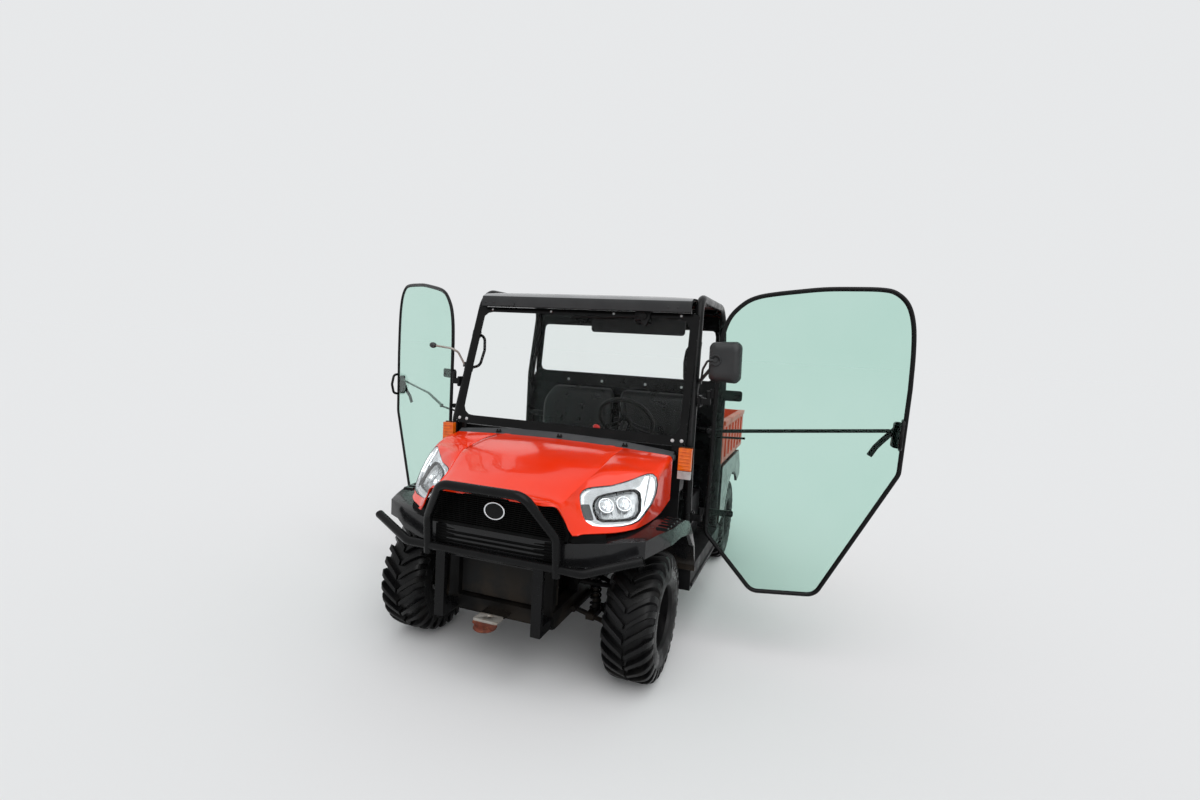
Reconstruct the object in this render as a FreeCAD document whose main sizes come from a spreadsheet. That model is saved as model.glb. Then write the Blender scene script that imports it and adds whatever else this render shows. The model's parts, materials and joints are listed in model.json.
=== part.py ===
import FreeCAD, Part
import math
import os
import re
import Sketcher

# Side by side utility vehicle with a dumping cargo bed and a glass-door cab.
# Millimetres. X runs to the vehicle's left, Y to its rear, Z up from the ground.
# The origin is on the ground, midway between the axles and the wheels.
# Every y value in the tables and functions below is measured back from the front axle.

SIZES = {
    "wheel_base": 2010,
    "track": 1240,
    "tyre_radius": 317.5,
    "tyre_width": 255,
    "tyre_crown": 290,
    "tyre_shoulder": 262,
    "bead_radius": 152,
    "rim_wall": 7,
    "rim_disc": 9,
    "wheel_facets": 18,
    "lug_width": 32,
    "lug_slant": 44,
    "joint_gap": 0.3,
    "hub_face": 600,
    "hub_radius": 62,
    "kingpin": 500,
    "kingpin_half": 80,
    "kingpin_radius": 22,

    "rail_inner": 225,
    "rail_outer": 285,
    "rail_low": 300,
    "rail_high": 380,
    "rail_front": -340,
    "rail_rear": 2440,
    "member_width": 50,
    "tower_high": 700,
    "tower_half": 45,

    "arm_radius": 12,
    "arm_boss": 20,
    "pivot_radius": 15,
    "lower_arm_spread": 110,
    "upper_arm_spread": 80,
    "lower_arm_rise": 85,
    "upper_arm_rise": 55,
    "shock_x": 370,
    "spring_radius": 30,
    "damper_radius": 17,

    "engine_half": 215,
    "engine_front": 1480,
    "engine_rear": 2150,
    "engine_high": 770,
    "radiator_half": 265,
    "radiator_thick": 60,
    "radiator_high": 830,

    "floor_low": 380.3,
    "floor_thick": 12,
    "floor_front": 430,
    "floor_rear": 1400,
    "floor_half": 690,
    "sill_outer": 768,
    "sill_low": 300,
    "sill_high": 425,

    "nose_front": -418,
    "fascia_low": 600,
    "flare_out": 786,
    "arch_inner": 320,
    "cab_front": 345,

    "hood_wall": 12,
    "hood_hinge_y": 259,
    "hood_hinge_z": 1088,
    "grille_low": 745,
    "grille_high": 896,
    "grille_thick": 20,
    "grille_slat": 9,
    "slat_count": 7,

    "bar_radius": 21,
    "rops_radius": 25,
    "rops_half": 688,
    "rops_foot": 730,
    "rops_top": 1930,
    "rops_front": 575,
    "rops_rear": 1375,
    "belt": 1130,
    "roof_half": 660,
    "roof_front": 479,
    "roof_thick": 20,
    "pane": 6,

    "door_plane": 800,
    "door_hinge": 418,
    "door_tube": 14,
    "door_open_left": 81,
    "door_open_right": 58,
    "hinge_low": 742,
    "hinge_high": 1383,
    "hinge_radius": 12,
    "hinge_height": 36,

    "seat_half": 575,
    "seat_base_half": 635,
    "seat_front": 900,
    "seat_rear": 1300,
    "cushion_low": 690,
    "cushion_high": 830,
    "back_high": 1340,

    "bed_half": 745,
    "bed_front": 1450,
    "bed_rear": 2505,
    "bed_low": 850,
    "bed_high": 1150,
    "bed_wall": 30,
    "bed_floor": 22,
    "gate_wall": 26,
    "tilt_axis_y": 2330,
    "tilt_axis_z": 800,
    "tilt_pin": 15,
    "gate_axis_y": 2524,
    "dump_x": 330,
    "dump_foot_y": 1600,
    "dump_foot_z": 340,
    "dump_eye_y": 1880,
    "dump_eye_z": 790,
}

doc = FreeCAD.newDocument("utility_vehicle")
sheet = doc.addObject("Spreadsheet::Sheet", "Sizes")
for row, (alias, number) in enumerate(SIZES.items(), 1):
    sheet.set("A%d" % row, alias)
    sheet.set("B%d" % row, str(number))
    sheet.setAlias("B%d" % row, alias)
doc.recompute()


def size(name):
    """The value of one named size."""
    return float(sheet.get(name))


def ref(text):
    """An expression on the sheet from text that uses the named sizes."""
    return re.sub(r"[a-z]\w*", lambda m: "Sizes." + m.group(0) if m.group(0) in SIZES else m.group(0), str(text))


def value(text):
    """The number that such a text gives."""
    return float(sheet.evalExpression(ref(text)))


def aft(text):
    """A y value, given behind the front axle, as an expression in the vehicle's frame."""
    return "(%s) - wheel_base / 2" % text


def point(x, y, z):
    """A point from three texts or numbers, y behind the front axle."""
    return FreeCAD.Vector(value(x), value(aft(y)), value(z))


def bind(thing, **texts):
    for name, text in texts.items():
        thing.setExpression(name.replace("__", "."), ref(text))


def place(thing, x, y, z):
    bind(thing, Placement__Base__x=x, Placement__Base__y=aft(y), Placement__Base__z=z)
    return thing


def block(name, x, y, z):
    """A box between two x, two y and two z values."""
    thing = doc.addObject("Part::Box", name)
    for prop, (low, high) in (("Length", x), ("Width", y), ("Height", z)):
        thing.setExpression(prop, ref("(%s) - (%s)" % (high, low)))
    return place(thing, x[0], y[0], z[0])


TURNS = {"x": (FreeCAD.Vector(0, 1, 0), 90), "y": (FreeCAD.Vector(1, 0, 0), -90), "z": (FreeCAD.Vector(0, 0, 1), 0)}


def rod(name, axis, centre, along, radius):
    """A cylinder along x, y or z: its centre's two other values, its two ends and its radius."""
    thing = doc.addObject("Part::Cylinder", name)
    turn, angle = TURNS[axis]
    thing.Placement.Rotation = FreeCAD.Rotation(turn, angle)
    bind(thing, Radius=radius, Height="(%s) - (%s)" % (along[1], along[0]))
    a, b = centre
    spot = {"x": (along[0], a, b), "y": (a, along[0], b), "z": (a, b, along[0])}[axis]
    return place(thing, *spot)


def prism(name, plane, across, points):
    """A body padded from a closed outline in the YZ, XZ or XY plane, between two values across it."""
    body = doc.addObject("PartDesign::Body", name)
    sketch = body.newObject("Sketcher::SketchObject", name + "_outline")
    face = [f for f in body.Origin.OriginFeatures if f.Role == plane + "_Plane"][0]
    sketch.AttachmentSupport = [(face, "")]
    sketch.MapMode = "FlatFace"
    start, finish = across
    depth = "(%s) - (%s)" % (finish, start)
    flat = points
    if plane == "YZ":
        flat = [(aft(a), b) for a, b in points]
    elif plane == "XY":
        flat = [(a, aft(b)) for a, b in points]
    else:
        start = "-(%s)" % aft(finish)
    spots = [FreeCAD.Vector(value(a), value(b), 0) for a, b in flat]
    count = len(spots)
    for i in range(count):
        sketch.addGeometry(Part.LineSegment(spots[i], spots[(i + 1) % count]), False)
    for i in range(count):
        sketch.addConstraint(Sketcher.Constraint("Coincident", i, 2, (i + 1) % count, 1))
    for i, (a, b) in enumerate(flat):
        for kind, text, number in (("DistanceX", a, spots[i].x), ("DistanceY", b, spots[i].y)):
            index = sketch.addConstraint(Sketcher.Constraint(kind, -1, 1, i, 1, number))
            sketch.setExpression("Constraints[%d]" % index, ref(text))
    sketch.setExpression("AttachmentOffset.Base.z", ref(start))
    pad = body.newObject("PartDesign::Pad", name + "_pad")
    pad.Profile = sketch
    pad.setExpression("Length", ref(depth))
    return body


def join(name, things):
    """One solid from several that meet."""
    thing = doc.addObject("Part::MultiFuse", name)
    thing.Shapes = things
    thing.Refine = True
    return thing


def common(name, things):
    thing = doc.addObject("Part::MultiCommon", name)
    thing.Shapes = things
    return thing


def cut(name, base, tools):
    thing = doc.addObject("Part::Cut", name)
    thing.Base = base
    thing.Tool = tools[0] if len(tools) == 1 else join(name + "_tools", tools)
    thing.Refine = True
    return thing


def mirrored(name, source):
    """The same piece on the vehicle's other side."""
    thing = doc.addObject("Part::Mirroring", name)
    thing.Source = source
    thing.Normal = (1, 0, 0)
    return thing


def group(name, things):
    """Like pieces in one node that don't touch each other."""
    thing = doc.addObject("Part::Compound", name)
    thing.Links = things
    return thing


def pair(name, source):
    return group(name, [source, mirrored(name + "_other", source)])


def both(name, *things):
    """Each of these and its mirror image."""
    return list(things) + [mirrored("%s_other%d" % (name, i), thing) for i, thing in enumerate(things)]


def made(name, shape):
    """A piece whose form comes from curves, with its sizes read from the sheet."""
    thing = doc.addObject("Part::Feature", name)
    thing.Shape = shape
    return thing


def closed_solid(faces):
    """A solid bounded by flat faces."""
    solid = Part.makeSolid(Part.makeShell(faces))
    if solid.Volume < 0:
        solid.reverse()
    return solid


def flat_face(corners):
    return Part.Face(Part.makePolygon(corners + corners[:1]))


def bent_line(points, bend, closed=False):
    """Points along a line whose corners are turned in short chords about a bend radius."""
    count, line, step = len(points), [], 30
    for i, here in enumerate(points):
        if not closed and i in (0, count - 1):
            line.append(here)
            continue
        before, after = points[i - 1] - here, points[(i + 1) % count] - here
        u, w = FreeCAD.Vector(before).normalize(), FreeCAD.Vector(after).normalize()
        turn = math.pi - u.getAngle(w)
        reach = min(bend * math.tan(turn / 2), 0.45 * before.Length, 0.45 * after.Length)
        centre = here + (u + w).normalize() * (reach / math.sin(turn / 2))
        first, last = here + u * reach - centre, here + w * reach - centre
        chords = max(1, round(math.degrees(turn) / step))
        for k in range(chords + 1):
            share = k / chords
            spoke = first * math.sin((1 - share) * turn) + last * math.sin(share * turn)
            line.append(centre + spoke / math.sin(turn))
    return line


def flat_bar(line, radius, sides, closed=False):
    """A bar along a line, its round section in flat sides, mitred at each corner."""
    count = len(line)
    runs = count if closed else count - 1
    ways = [(line[(i + 1) % count] - line[i]).normalize() for i in range(runs)]
    side = ways[0].cross(FreeCAD.Vector(0, 0, 1))
    if side.Length < 0.1:
        side = ways[0].cross(FreeCAD.Vector(1, 0, 0))
    side.normalize()
    up = side.cross(ways[0])
    spots = []
    for k in range(sides):
        angle = 2 * math.pi * (k + 0.5) / sides
        spots.append(line[0] + (side * math.cos(angle) + up * math.sin(angle)) * radius)
    rings = []
    for i in range(count):
        before = ways[i - 1] if closed or i else ways[0]
        after = ways[i] if i < runs else ways[-1]
        mitre = before + after
        way = before if i else after
        spots = [spot + way * ((line[i] - spot).dot(mitre) / way.dot(mitre)) for spot in spots]
        rings.append(spots)
    faces = []
    for i in range(runs):
        here, there = rings[i], rings[(i + 1) % count]
        for k in range(sides):
            faces.append(flat_face([here[k - 1], here[k], there[k], there[k - 1]]))
    if not closed:
        faces += [flat_face(rings[0]), flat_face(rings[-1])]
    return closed_solid(faces)


def bar(name, points, radius, bend=0, sides=8):
    """A bent bar through points given as texts."""
    spots = [point(*p) for p in points]
    line = bent_line(spots, bend) if bend else spots
    return made(name, flat_bar(line, value(radius), sides))


def skin(sections):
    """A solid between cross sections with as many points each, in flat triangles."""
    faces = [flat_face(sections[0]), flat_face(sections[-1])]
    for near, far in zip(sections, sections[1:]):
        for k in range(len(near)):
            faces.append(flat_face([near[k - 1], near[k], far[k]]))
            faces.append(flat_face([near[k - 1], far[k], far[k - 1]]))
    return closed_solid(faces)


def crowned(y, halves, middle):
    """A cross section at one y: (half width, height) pairs from its foot to its crown, then its middle."""
    left = [point(x, y, z) for x, z in halves]
    right = [point("-(%s)" % x, y, z) for x, z in reversed(halves)]
    return left + [point(0, y, middle)] + right


NODES = []


def node(name, thing):
    """Marks a piece as one of the vehicle's sub-parts."""
    thing.Label = name
    NODES.append((name, thing))
    return thing


# Wheels
def ring_of_facets(outline, count, phase=0):
    """A solid ring about the X axis from a closed outline of (x, radius) points, in flat facets."""
    angles = [math.radians(phase + 360.0 * i / count) for i in range(count + 1)]
    faces = []
    for i in range(count):
        for k in range(len(outline)):
            corners = []
            for (x, radius), angle in ((outline[k - 1], angles[i]), (outline[k], angles[i]),
                                       (outline[k], angles[i + 1]), (outline[k - 1], angles[i + 1])):
                corners.append(FreeCAD.Vector(x, -radius * math.sin(angle), -radius * math.cos(angle)))
            faces.append(flat_face(corners))
    return closed_solid(faces)


def turned(shape, degrees):
    """A copy turned about the X axis."""
    copy = shape.copy()
    copy.rotate(FreeCAD.Vector(0, 0, 0), FreeCAD.Vector(1, 0, 0), degrees)
    return copy


def tyre_shape():
    """A tyre about the X axis: a carcass with one facet a lug, and two rows of slanted lugs."""
    half, crown, shoulder = size("tyre_width") / 2, size("tyre_crown"), size("tyre_shoulder")
    bead, tip, width, slant = size("bead_radius"), size("tyre_radius"), size("lug_width"), size("lug_slant")
    count = int(size("wheel_facets"))
    bulge, shoulder_in, groove = 26, 36, 7
    outline = [(-half + bulge, bead), (-half, bead + 2 * bulge), (-half, shoulder - bulge), (-half + shoulder_in, crown),
               (half - shoulder_in, crown), (half, shoulder - bulge), (half, bead + 2 * bulge), (half - bulge, bead)]
    phase = 180.0 / count
    tyre = ring_of_facets(outline, count, phase)
    root = -(shoulder - 1.5 * bulge)
    lugs = []
    for row in (1, -1):
        near, far = row * groove, row * (half - groove)
        low, high = -(width + slant) / 2, (slant - width) / 2
        base = [FreeCAD.Vector(near, low, root), FreeCAD.Vector(far, high, root),
                FreeCAD.Vector(far, high + width, root), FreeCAD.Vector(near, low + width, root)]
        lug = flat_face(base).extrude(FreeCAD.Vector(0, 0, -tip - root))
        lugs += [turned(lug, 360.0 * i / count) for i in range(count)]
    return tyre.multiFuse(lugs)


def rim_shape():
    """A rim about the X axis, with its disc's inner face at the hub and +X outward."""
    half, bead, wall, disc = size("tyre_width") / 2, size("bead_radius"), size("rim_wall"), size("rim_disc")
    count, seat, lip, hole = int(size("wheel_facets")), size("joint_gap"), 28, 38
    inner = size("hub_face") + size("joint_gap") - size("track") / 2
    barrel = bead - wall
    outline = [(-half + lip, bead - seat), (-half + lip, barrel), (inner, barrel), (inner, hole),
               (inner + disc, hole), (inner + disc, barrel), (half - lip, barrel), (half - lip, bead - seat)]
    rim = ring_of_facets(outline, count, 180.0 / count)
    slot = Part.makeBox(3 * disc, 30, 40, FreeCAD.Vector(inner - disc, -15, 80))
    slots = [turned(slot, 720.0 * i / count) for i in range(count // 2)]
    cap = Part.makeCylinder(hole + 6, 24, FreeCAD.Vector(inner, 0, 0), FreeCAD.Vector(1, 0, 0))
    return rim.cut(slots[0].multiFuse(slots[1:])).fuse(cap)


def wheels():
    flip = (FreeCAD.Vector(0, 0, 0), FreeCAD.Vector(1, 0, 0))
    tyre, rim = tyre_shape(), rim_shape()
    shapes = {1: {"tyre": tyre, "rim": rim}, -1: {"tyre": tyre.mirror(*flip), "rim": rim.mirror(*flip)}}
    for end, y in (("front", "0"), ("rear", "wheel_base")):
        for side, sign in (("left", 1), ("right", -1)):
            for kind, shape in shapes[sign].items():
                name = "%s_%s_%s" % (kind, end, side)
                node(name, place(made(name, shape), "%d * track / 2" % sign, y, "tyre_radius"))


# Chassis and running gear
def chassis():
    rail = block("rail", ("rail_inner", "rail_outer"), ("rail_front", "rail_rear"), ("rail_low", "rail_high"))
    pieces = both("rail", rail)
    for i, y in enumerate(("floor_front + 50", "engine_front + 20", "engine_rear - 70", "rail_rear - 50")):
        pieces.append(block("member%d" % i, ("-rail_inner - 5", "rail_inner + 5"), (y, y + " + member_width"),
                            ("rail_low + 10", "rail_high - 10")))
    pieces.append(block("front_member", ("-rail_outer", "rail_outer"), ("rail_front", "rail_front + 40"), ("rail_low + 10", "rail_high - 5")))
    for i, y in enumerate(("0", "wheel_base")):
        tower = block("tower%d" % i, ("rail_outer - 45", "rail_outer"), (y + " - tower_half", y + " + tower_half"),
                      ("rail_high - 5", "tower_high"))
        ear = block("ear%d" % i, ("rail_outer - 45", "shock_x + 40"), (y + " - tower_half", y + " + tower_half"),
                    ("tower_high - 12", "tower_high + 4"))
        pieces += both("tower%d" % i, tower, ear)
    for i, y in enumerate(("floor_front + 40", "floor_rear - 60")):
        out = block("outrigger%d" % i, ("rail_outer - 5", "floor_half - 6"), (y, y + " + 40"),
                    ("rail_low + 20", "rail_high - 10"))
        pieces += both("outrigger%d" % i, out)
    post = block("bed_post", ("rail_inner + 5", "rail_outer - 5"), ("tilt_axis_y - 22", "tilt_axis_y + 22"),
                 ("rail_high - 5", "tilt_axis_z"))
    pin = rod("bed_pin", "x", ("tilt_axis_y", "tilt_axis_z"), ("rail_inner + 5", "rail_outer + 35"), "tilt_pin")
    pieces += both("bed_post", post, pin)
    pieces.append(rod("dump_foot_pin", "x", ("dump_foot_y", "dump_foot_z"), ("-dump_x - 20", "-rail_outer + 5"), "11.7"))
    post = block("nose_post", ("rail_inner + 5", "rail_outer - 5"), ("rail_front", "rail_front + 35"), ("rail_high - 5", "grille_low - 25"))
    nose = block("nose_stay", ("rail_inner + 5", "rail_outer - 5"), ("nose_front + 35 + joint_gap", "rail_front + 5"), ("fascia_low + 40", "grille_low - 25"))
    pieces += both("nose_post", post, nose)
    node("chassis_frame", join("chassis_frame", pieces))
    node("engine_block", block("engine_block", ("-engine_half", "engine_half"), ("engine_front", "engine_rear"),
                               ("rail_high - 10 + joint_gap", "engine_high")))
    plate = block("skid_plate", ("-rail_outer", "rail_outer"), ("rail_front + 20", "floor_front"),
                  ("rail_low - joint_gap - 6", "rail_low - joint_gap"))
    node("skid_plate", plate)


def front_suspension():
    low_z, high_z = "tyre_radius - kingpin_half", "tyre_radius + kingpin_half"
    pivot_x = "rail_outer + joint_gap + pivot_radius"
    pieces = [rod("boss_low", "z", ("kingpin", "0"), (low_z + " - joint_gap - 40", low_z + " - joint_gap"), "arm_boss"),
              rod("boss_high", "z", ("kingpin", "0"), (high_z + " + joint_gap", high_z + " + joint_gap + 40"), "arm_boss")]
    for i, sign in enumerate((-1, 1)):
        pieces.append(bar("low_arm%d" % i, [(pivot_x, "%d * lower_arm_spread" % sign, low_z + " + lower_arm_rise"),
                                            ("kingpin - 5", "0", low_z + " - 27")], "arm_radius"))
        pieces.append(bar("high_arm%d" % i, [(pivot_x, "%d * upper_arm_spread" % sign, high_z + " + upper_arm_rise"),
                                             ("kingpin - 5", "0", high_z + " + 26")], "arm_radius"))
    pieces.append(block("shock_seat", ("shock_x - 22", "shock_x + 22"), ("-80", "80"), (low_z + " + 22", low_z + " + 52")))
    for level, height, spread in (("low", low_z + " + lower_arm_rise", "lower_arm_spread"),
                                  ("high", high_z + " + upper_arm_rise", "upper_arm_spread")):
        pieces.append(rod("pivot_" + level, "y", (pivot_x, height), ("-%s - 22" % spread, spread + " + 22"), "pivot_radius"))
    node("front_arms", pair("front_arms", join("front_arm", pieces)))
    spring = rod("front_spring", "z", ("shock_x", "0"), (low_z + " + 52 + joint_gap", low_z + " + 290"), "spring_radius")
    damper = rod("front_damper", "z", ("shock_x", "0"), (low_z + " + 280", "tower_high - 12 - joint_gap"), "damper_radius")
    node("front_shocks", pair("front_shocks", join("front_shock", [spring, damper])))
    for side, sign in (("left", 1), ("right", -1)):
        pin = rod("pin_" + side, "z", ("kingpin", "0"), (low_z, high_z), "kingpin_radius")
        web = block("web_" + side, ("kingpin", "hub_face - 35"), ("-42", "42"), ("tyre_radius - 45", "tyre_radius + 45"))
        hub = rod("hub_" + side, "x", ("0", "tyre_radius"), ("hub_face - 40", "hub_face"), "hub_radius")
        arm = block("steer_arm_" + side, ("kingpin - 15", "kingpin + 15"), ("0", "115"), ("tyre_radius - 12", "tyre_radius + 12"))
        whole = join("knuckle_half_" + side, [pin, web, hub, arm])
        name = "knuckle_" + side
        node(name, whole if sign > 0 else mirrored(name, whole))


def rear_suspension():
    hub = rod("rear_hub", "x", ("wheel_base", "tyre_radius"), ("hub_face - 110", "hub_face"), "hub_radius")
    shaft = rod("rear_shaft", "x", ("wheel_base", "tyre_radius"), ("rail_outer + joint_gap", "hub_face - 100"), "20")
    trail = bar("trail_arm", [("rail_outer + joint_gap + 24", "wheel_base - 330", "rail_low + 30"),
                              ("hub_face - 80", "wheel_base", "tyre_radius - 30")], "22")
    pivot = rod("trail_pivot", "x", ("wheel_base - 330", "rail_low + 30"), ("rail_outer + joint_gap", "rail_outer + 60"), "27")
    seat = block("rear_seat", ("shock_x - 25", "hub_face - 80"), ("wheel_base - 30", "wheel_base + 30"),
                 ("tyre_radius + 15", "tyre_radius + 40"))
    node("rear_arms", pair("rear_arms", join("rear_arm", [hub, shaft, trail, pivot, seat])))
    spring = rod("rear_spring", "z", ("shock_x", "wheel_base"), ("tyre_radius + 40 + joint_gap", "tyre_radius + 250"), "spring_radius")
    damper = rod("rear_damper", "z", ("shock_x", "wheel_base"), ("tyre_radius + 240", "tower_high - 12 - joint_gap"), "damper_radius")
    node("rear_shocks", pair("rear_shocks", join("rear_shock", [spring, damper])))


# Floor, firewall and sills
def floor():
    pan = block("pan", ("-floor_half", "floor_half"), ("floor_front", "floor_rear"), ("floor_low", "floor_low + floor_thick"))
    wall = prism("toe_board", "YZ", ("-floor_half", "floor_half"),
                 [("floor_front - 5", "floor_low"), ("floor_front + 15", "floor_low"), ("cab_front + 12", "700"),
                  ("cab_front + 12", "1040"), ("cab_front", "1040"), ("cab_front", "700")])
    sill = block("sill", ("floor_half - 5", "sill_outer"), ("floor_front", "floor_rear"), ("sill_low", "sill_high"))
    step = block("sill_step", ("floor_half + 12", "sill_outer + 10"), ("floor_front + 20", "floor_rear - 20"),
                 ("sill_low + 20", "sill_low + 40"))
    node("floor_pan", join("floor_pan", [pan, wall] + both("sill", sill, step)))


# Nose: fascia and flares, grille, hood and lamps
def fascia():
    side = prism("fascia_side", "YZ", ("-flare_out - 20", "flare_out + 20"),
                 [("nose_front - 7", "fascia_low"), ("nose_front - 7", "grille_low - 12"), ("nose_front", "grille_low"),
                  ("nose_front + 24", "grille_low"), ("-330", "768"), ("-200", "785"), ("0", "792"), ("110", "788"),
                  ("190", "762"), ("265", "690"), ("cab_front - 7", "595"), ("cab_front + 41", "437"), ("cab_front + 28", "437"),
                  ("cab_front - 30", "fascia_low")])
    plan = prism("fascia_plan", "XY", ("400", "900"),
                 [("-320", "nose_front + 7"), ("-200", "nose_front - 7"), ("200", "nose_front - 7"), ("320", "nose_front + 7"),
                  ("556", "-352"), ("690", "-285"), ("765", "-75"), ("flare_out", "140"), ("flare_out + 14", "cab_front + 60"),
                  ("-flare_out - 14", "cab_front + 60"), ("-flare_out", "140"), ("-765", "-75"), ("-690", "-285"), ("-556", "-352")])
    shell = common("fascia_shell", [side, plan])
    bay = prism("nose_hollow", "XY", ("390", "900"),
                [("-505", "cab_front + 70"), ("-505", "nose_front + 93"), ("-300", "nose_front + 35"), ("300", "nose_front + 35"),
                 ("505", "nose_front + 93"), ("505", "cab_front + 70")])
    liner = prism("flare_hollow", "XY", ("400", "765"),
                  [("arch_inner", "-330"), ("590", "-318"), ("668", "-262"), ("748", "-60"), ("flare_out - 14", "140"),
                   ("flare_out - 14", "310"), ("arch_inner", "310")])
    arch = prism("front_arch", "YZ", ("arch_inner", "flare_out + 60"),
                 [("-700", "400"), ("-700", "630"), ("-380", "640"), ("-320", "690"), ("-100", "708"), ("60", "712"),
                  ("200", "690"), ("cab_front - 45", "600"), ("cab_front + 30", "470"), ("cab_front + 30", "400")])
    slots = []
    for i in range(5):
        low = "fascia_low + 18 + %d * 22" % i
        slots.append(block("vent%d" % i, ("-260", "260"), ("nose_front - 20", "nose_front + 2"), (low, low + " + 12")))
    tools = [bay, liner, mirrored("flare_hollow_other", liner), arch, mirrored("front_arch_other", arch)] + slots
    node("front_fascia", cut("front_fascia", shell, tools))


def grille():
    frame = prism("grille_frame", "XZ", ("nose_front", "nose_front + grille_thick"),
                  [("-366", "grille_low + joint_gap"), ("366", "grille_low + joint_gap"), ("378", "grille_low + 42"),
                   ("300", "grille_high"), ("-300", "grille_high"), ("-378", "grille_low + 42")])
    pitch = "(grille_high - grille_low - 24) / slat_count"
    slots = []
    for i in range(int(size("slat_count"))):
        low = "grille_low + 14 + %d * %s" % (i, pitch)
        slots.append(block("slot%d" % i, ("-285", "285"), ("nose_front - 5", "nose_front + grille_thick + 5"),
                           (low, low + " + %s - grille_slat" % pitch)))
    slatted = cut("grille_slatted", frame, slots)
    spots = [point(56 * math.cos(math.radians(18 * k)), "nose_front - 9", 845 + 42 * math.sin(math.radians(18 * k))) for k in range(20)]
    pad = flat_face(spots).extrude(FreeCAD.Vector(0, 24, 0))
    node("grille", join("grille", [slatted, made("grille_oval", pad)]))
    node("radiator", block("radiator", ("-radiator_half", "radiator_half"), ("rail_front + 35 + joint_gap", "rail_front + 35 + radiator_thick"),
                           ("rail_high + joint_gap", "radiator_high")))


# Each row: y, then half width and height at the hood's foot, side, shoulder and crease, and the middle's height
HOOD = [
    (252, (664, 845), (664, 1060), (652, 1077), (390, 1090), 1098),
    (110, (652, 805), (662, 1040), (645, 1058), (391, 1078), 1090),
    (10, (645, 798), (655, 1000), (625, 1030), (391, 1062), 1078),
    (-107, (634, 798), (645, 889), (467, 1030), (390, 1037), 1056),
    (-190, (617, 797), (618, 826), (399, 1000), (370, 1006), 1033),
    (-300, (543, 797), (490, 816), (358, 921), (343, 960), 1004),
    (-400, (428, 797), (415, 806), (330, 912), (318, 922), 968),
    (-436, (398, 797), (388, 812), (308, 903), (296, 914), 955),
    (-505, (150, 925), (148, 929), (140, 934), (130, 937), 941),
]
# The lamps' outer faces lie in this plane, across the front corners
LAMP_CORNER = (423, -340, 828)
LAMP_NORMAL = (0.486, -0.623, 0.613)
# Outline of a lamp in its plane: across and up from its corner
LAMP = [(-12, 166), (242, 202), (392, 238), (356, 112), (262, -2), (130, -15), (0, -9), (-13, 60)]


def lamp_shape(grow, near, far):
    """A lamp's outline grown by a margin, between two depths behind its face."""
    out = FreeCAD.Vector(*LAMP_NORMAL).normalize()
    across = FreeCAD.Vector(0, 0, 1).cross(out).normalize()
    up = out.cross(across)
    corner = point(*LAMP_CORNER)
    spots = bent_line([corner + across * a + up * b for a, b in LAMP], 24, True)
    wire = Part.makePolygon(spots + spots[:1])
    if grow:
        wire = wire.makeOffset2D(grow)
    face = Part.Face(wire)
    face.translate(out * -near)
    return face.extrude(out * (near - far))


def hood():
    wall = size("hood_wall")
    outside, inside = [], []
    for y, foot, side, shoulder, crease, middle in HOOD:
        outside.append(crowned(y, (foot, side, shoulder, crease), middle))
        thin = [(foot[0] - wall, foot[1] - 4 * wall)]
        thin += [(x - wall, z - 0.6 * wall) for x, z in (side, shoulder)] + [(crease[0], crease[1] - wall)]
        shift = wall if y < 0 else 2 * wall
        if y == HOOD[0][0] or y == HOOD[-1][0]:
            inside.append(crowned(y + shift, thin, middle - wall))
        else:
            inside.append(crowned(y, thin, middle - wall))
    shell = made("hood_outside", skin(outside))
    hollow = made("hood_inside", skin(inside))
    pocket = made("lamp_pocket", lamp_shape(size("joint_gap"), -60, 200))
    lug = rod("hood_lug", "x", ("hood_hinge_y", "hood_hinge_z"), ("300", "340"), "6")
    arm = block("hood_lug_arm", ("300", "340"), ("hood_hinge_y - 20", "hood_hinge_y"), ("hood_hinge_z - 12", "hood_hinge_z - 3"))
    shaped = cut("hood_shell", cut("hood_open", shell, [hollow]), both("lamp_pocket", pocket))
    node("hood", join("hood", [shaped] + both("hood_lug", lug, arm)))
    node("headlights", pair("headlights", made("headlight", lamp_shape(0, -1, 40))))
    top = [(664, 1070), (390, 1084), (664, 1108), (390, 1132)]
    rows = [(267, 1072, 1086, 1095), (306, 1092, 1118, 1128), (313, 1082, 1100, 1108), (345, 1080, 1090, 1095), (362, 1078, 1088, 1092)]
    cowl = made("cowl_body", skin([crowned(y, ((660, 1040 + size("joint_gap")), (660, edge), (390, crease)), middle)
                                   for y, edge, crease, middle in rows]))
    pin = rod("cowl_pin", "x", ("hood_hinge_y", "hood_hinge_z"), ("340 + joint_gap", "375"), "6")
    ear = block("cowl_ear", ("345", "375"), ("hood_hinge_y", "275"), ("hood_hinge_z - 6", "hood_hinge_z + 6"))
    node("cowl_panel", join("cowl_panel", [cowl] + both("cowl_pin", pin, ear)))


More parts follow.
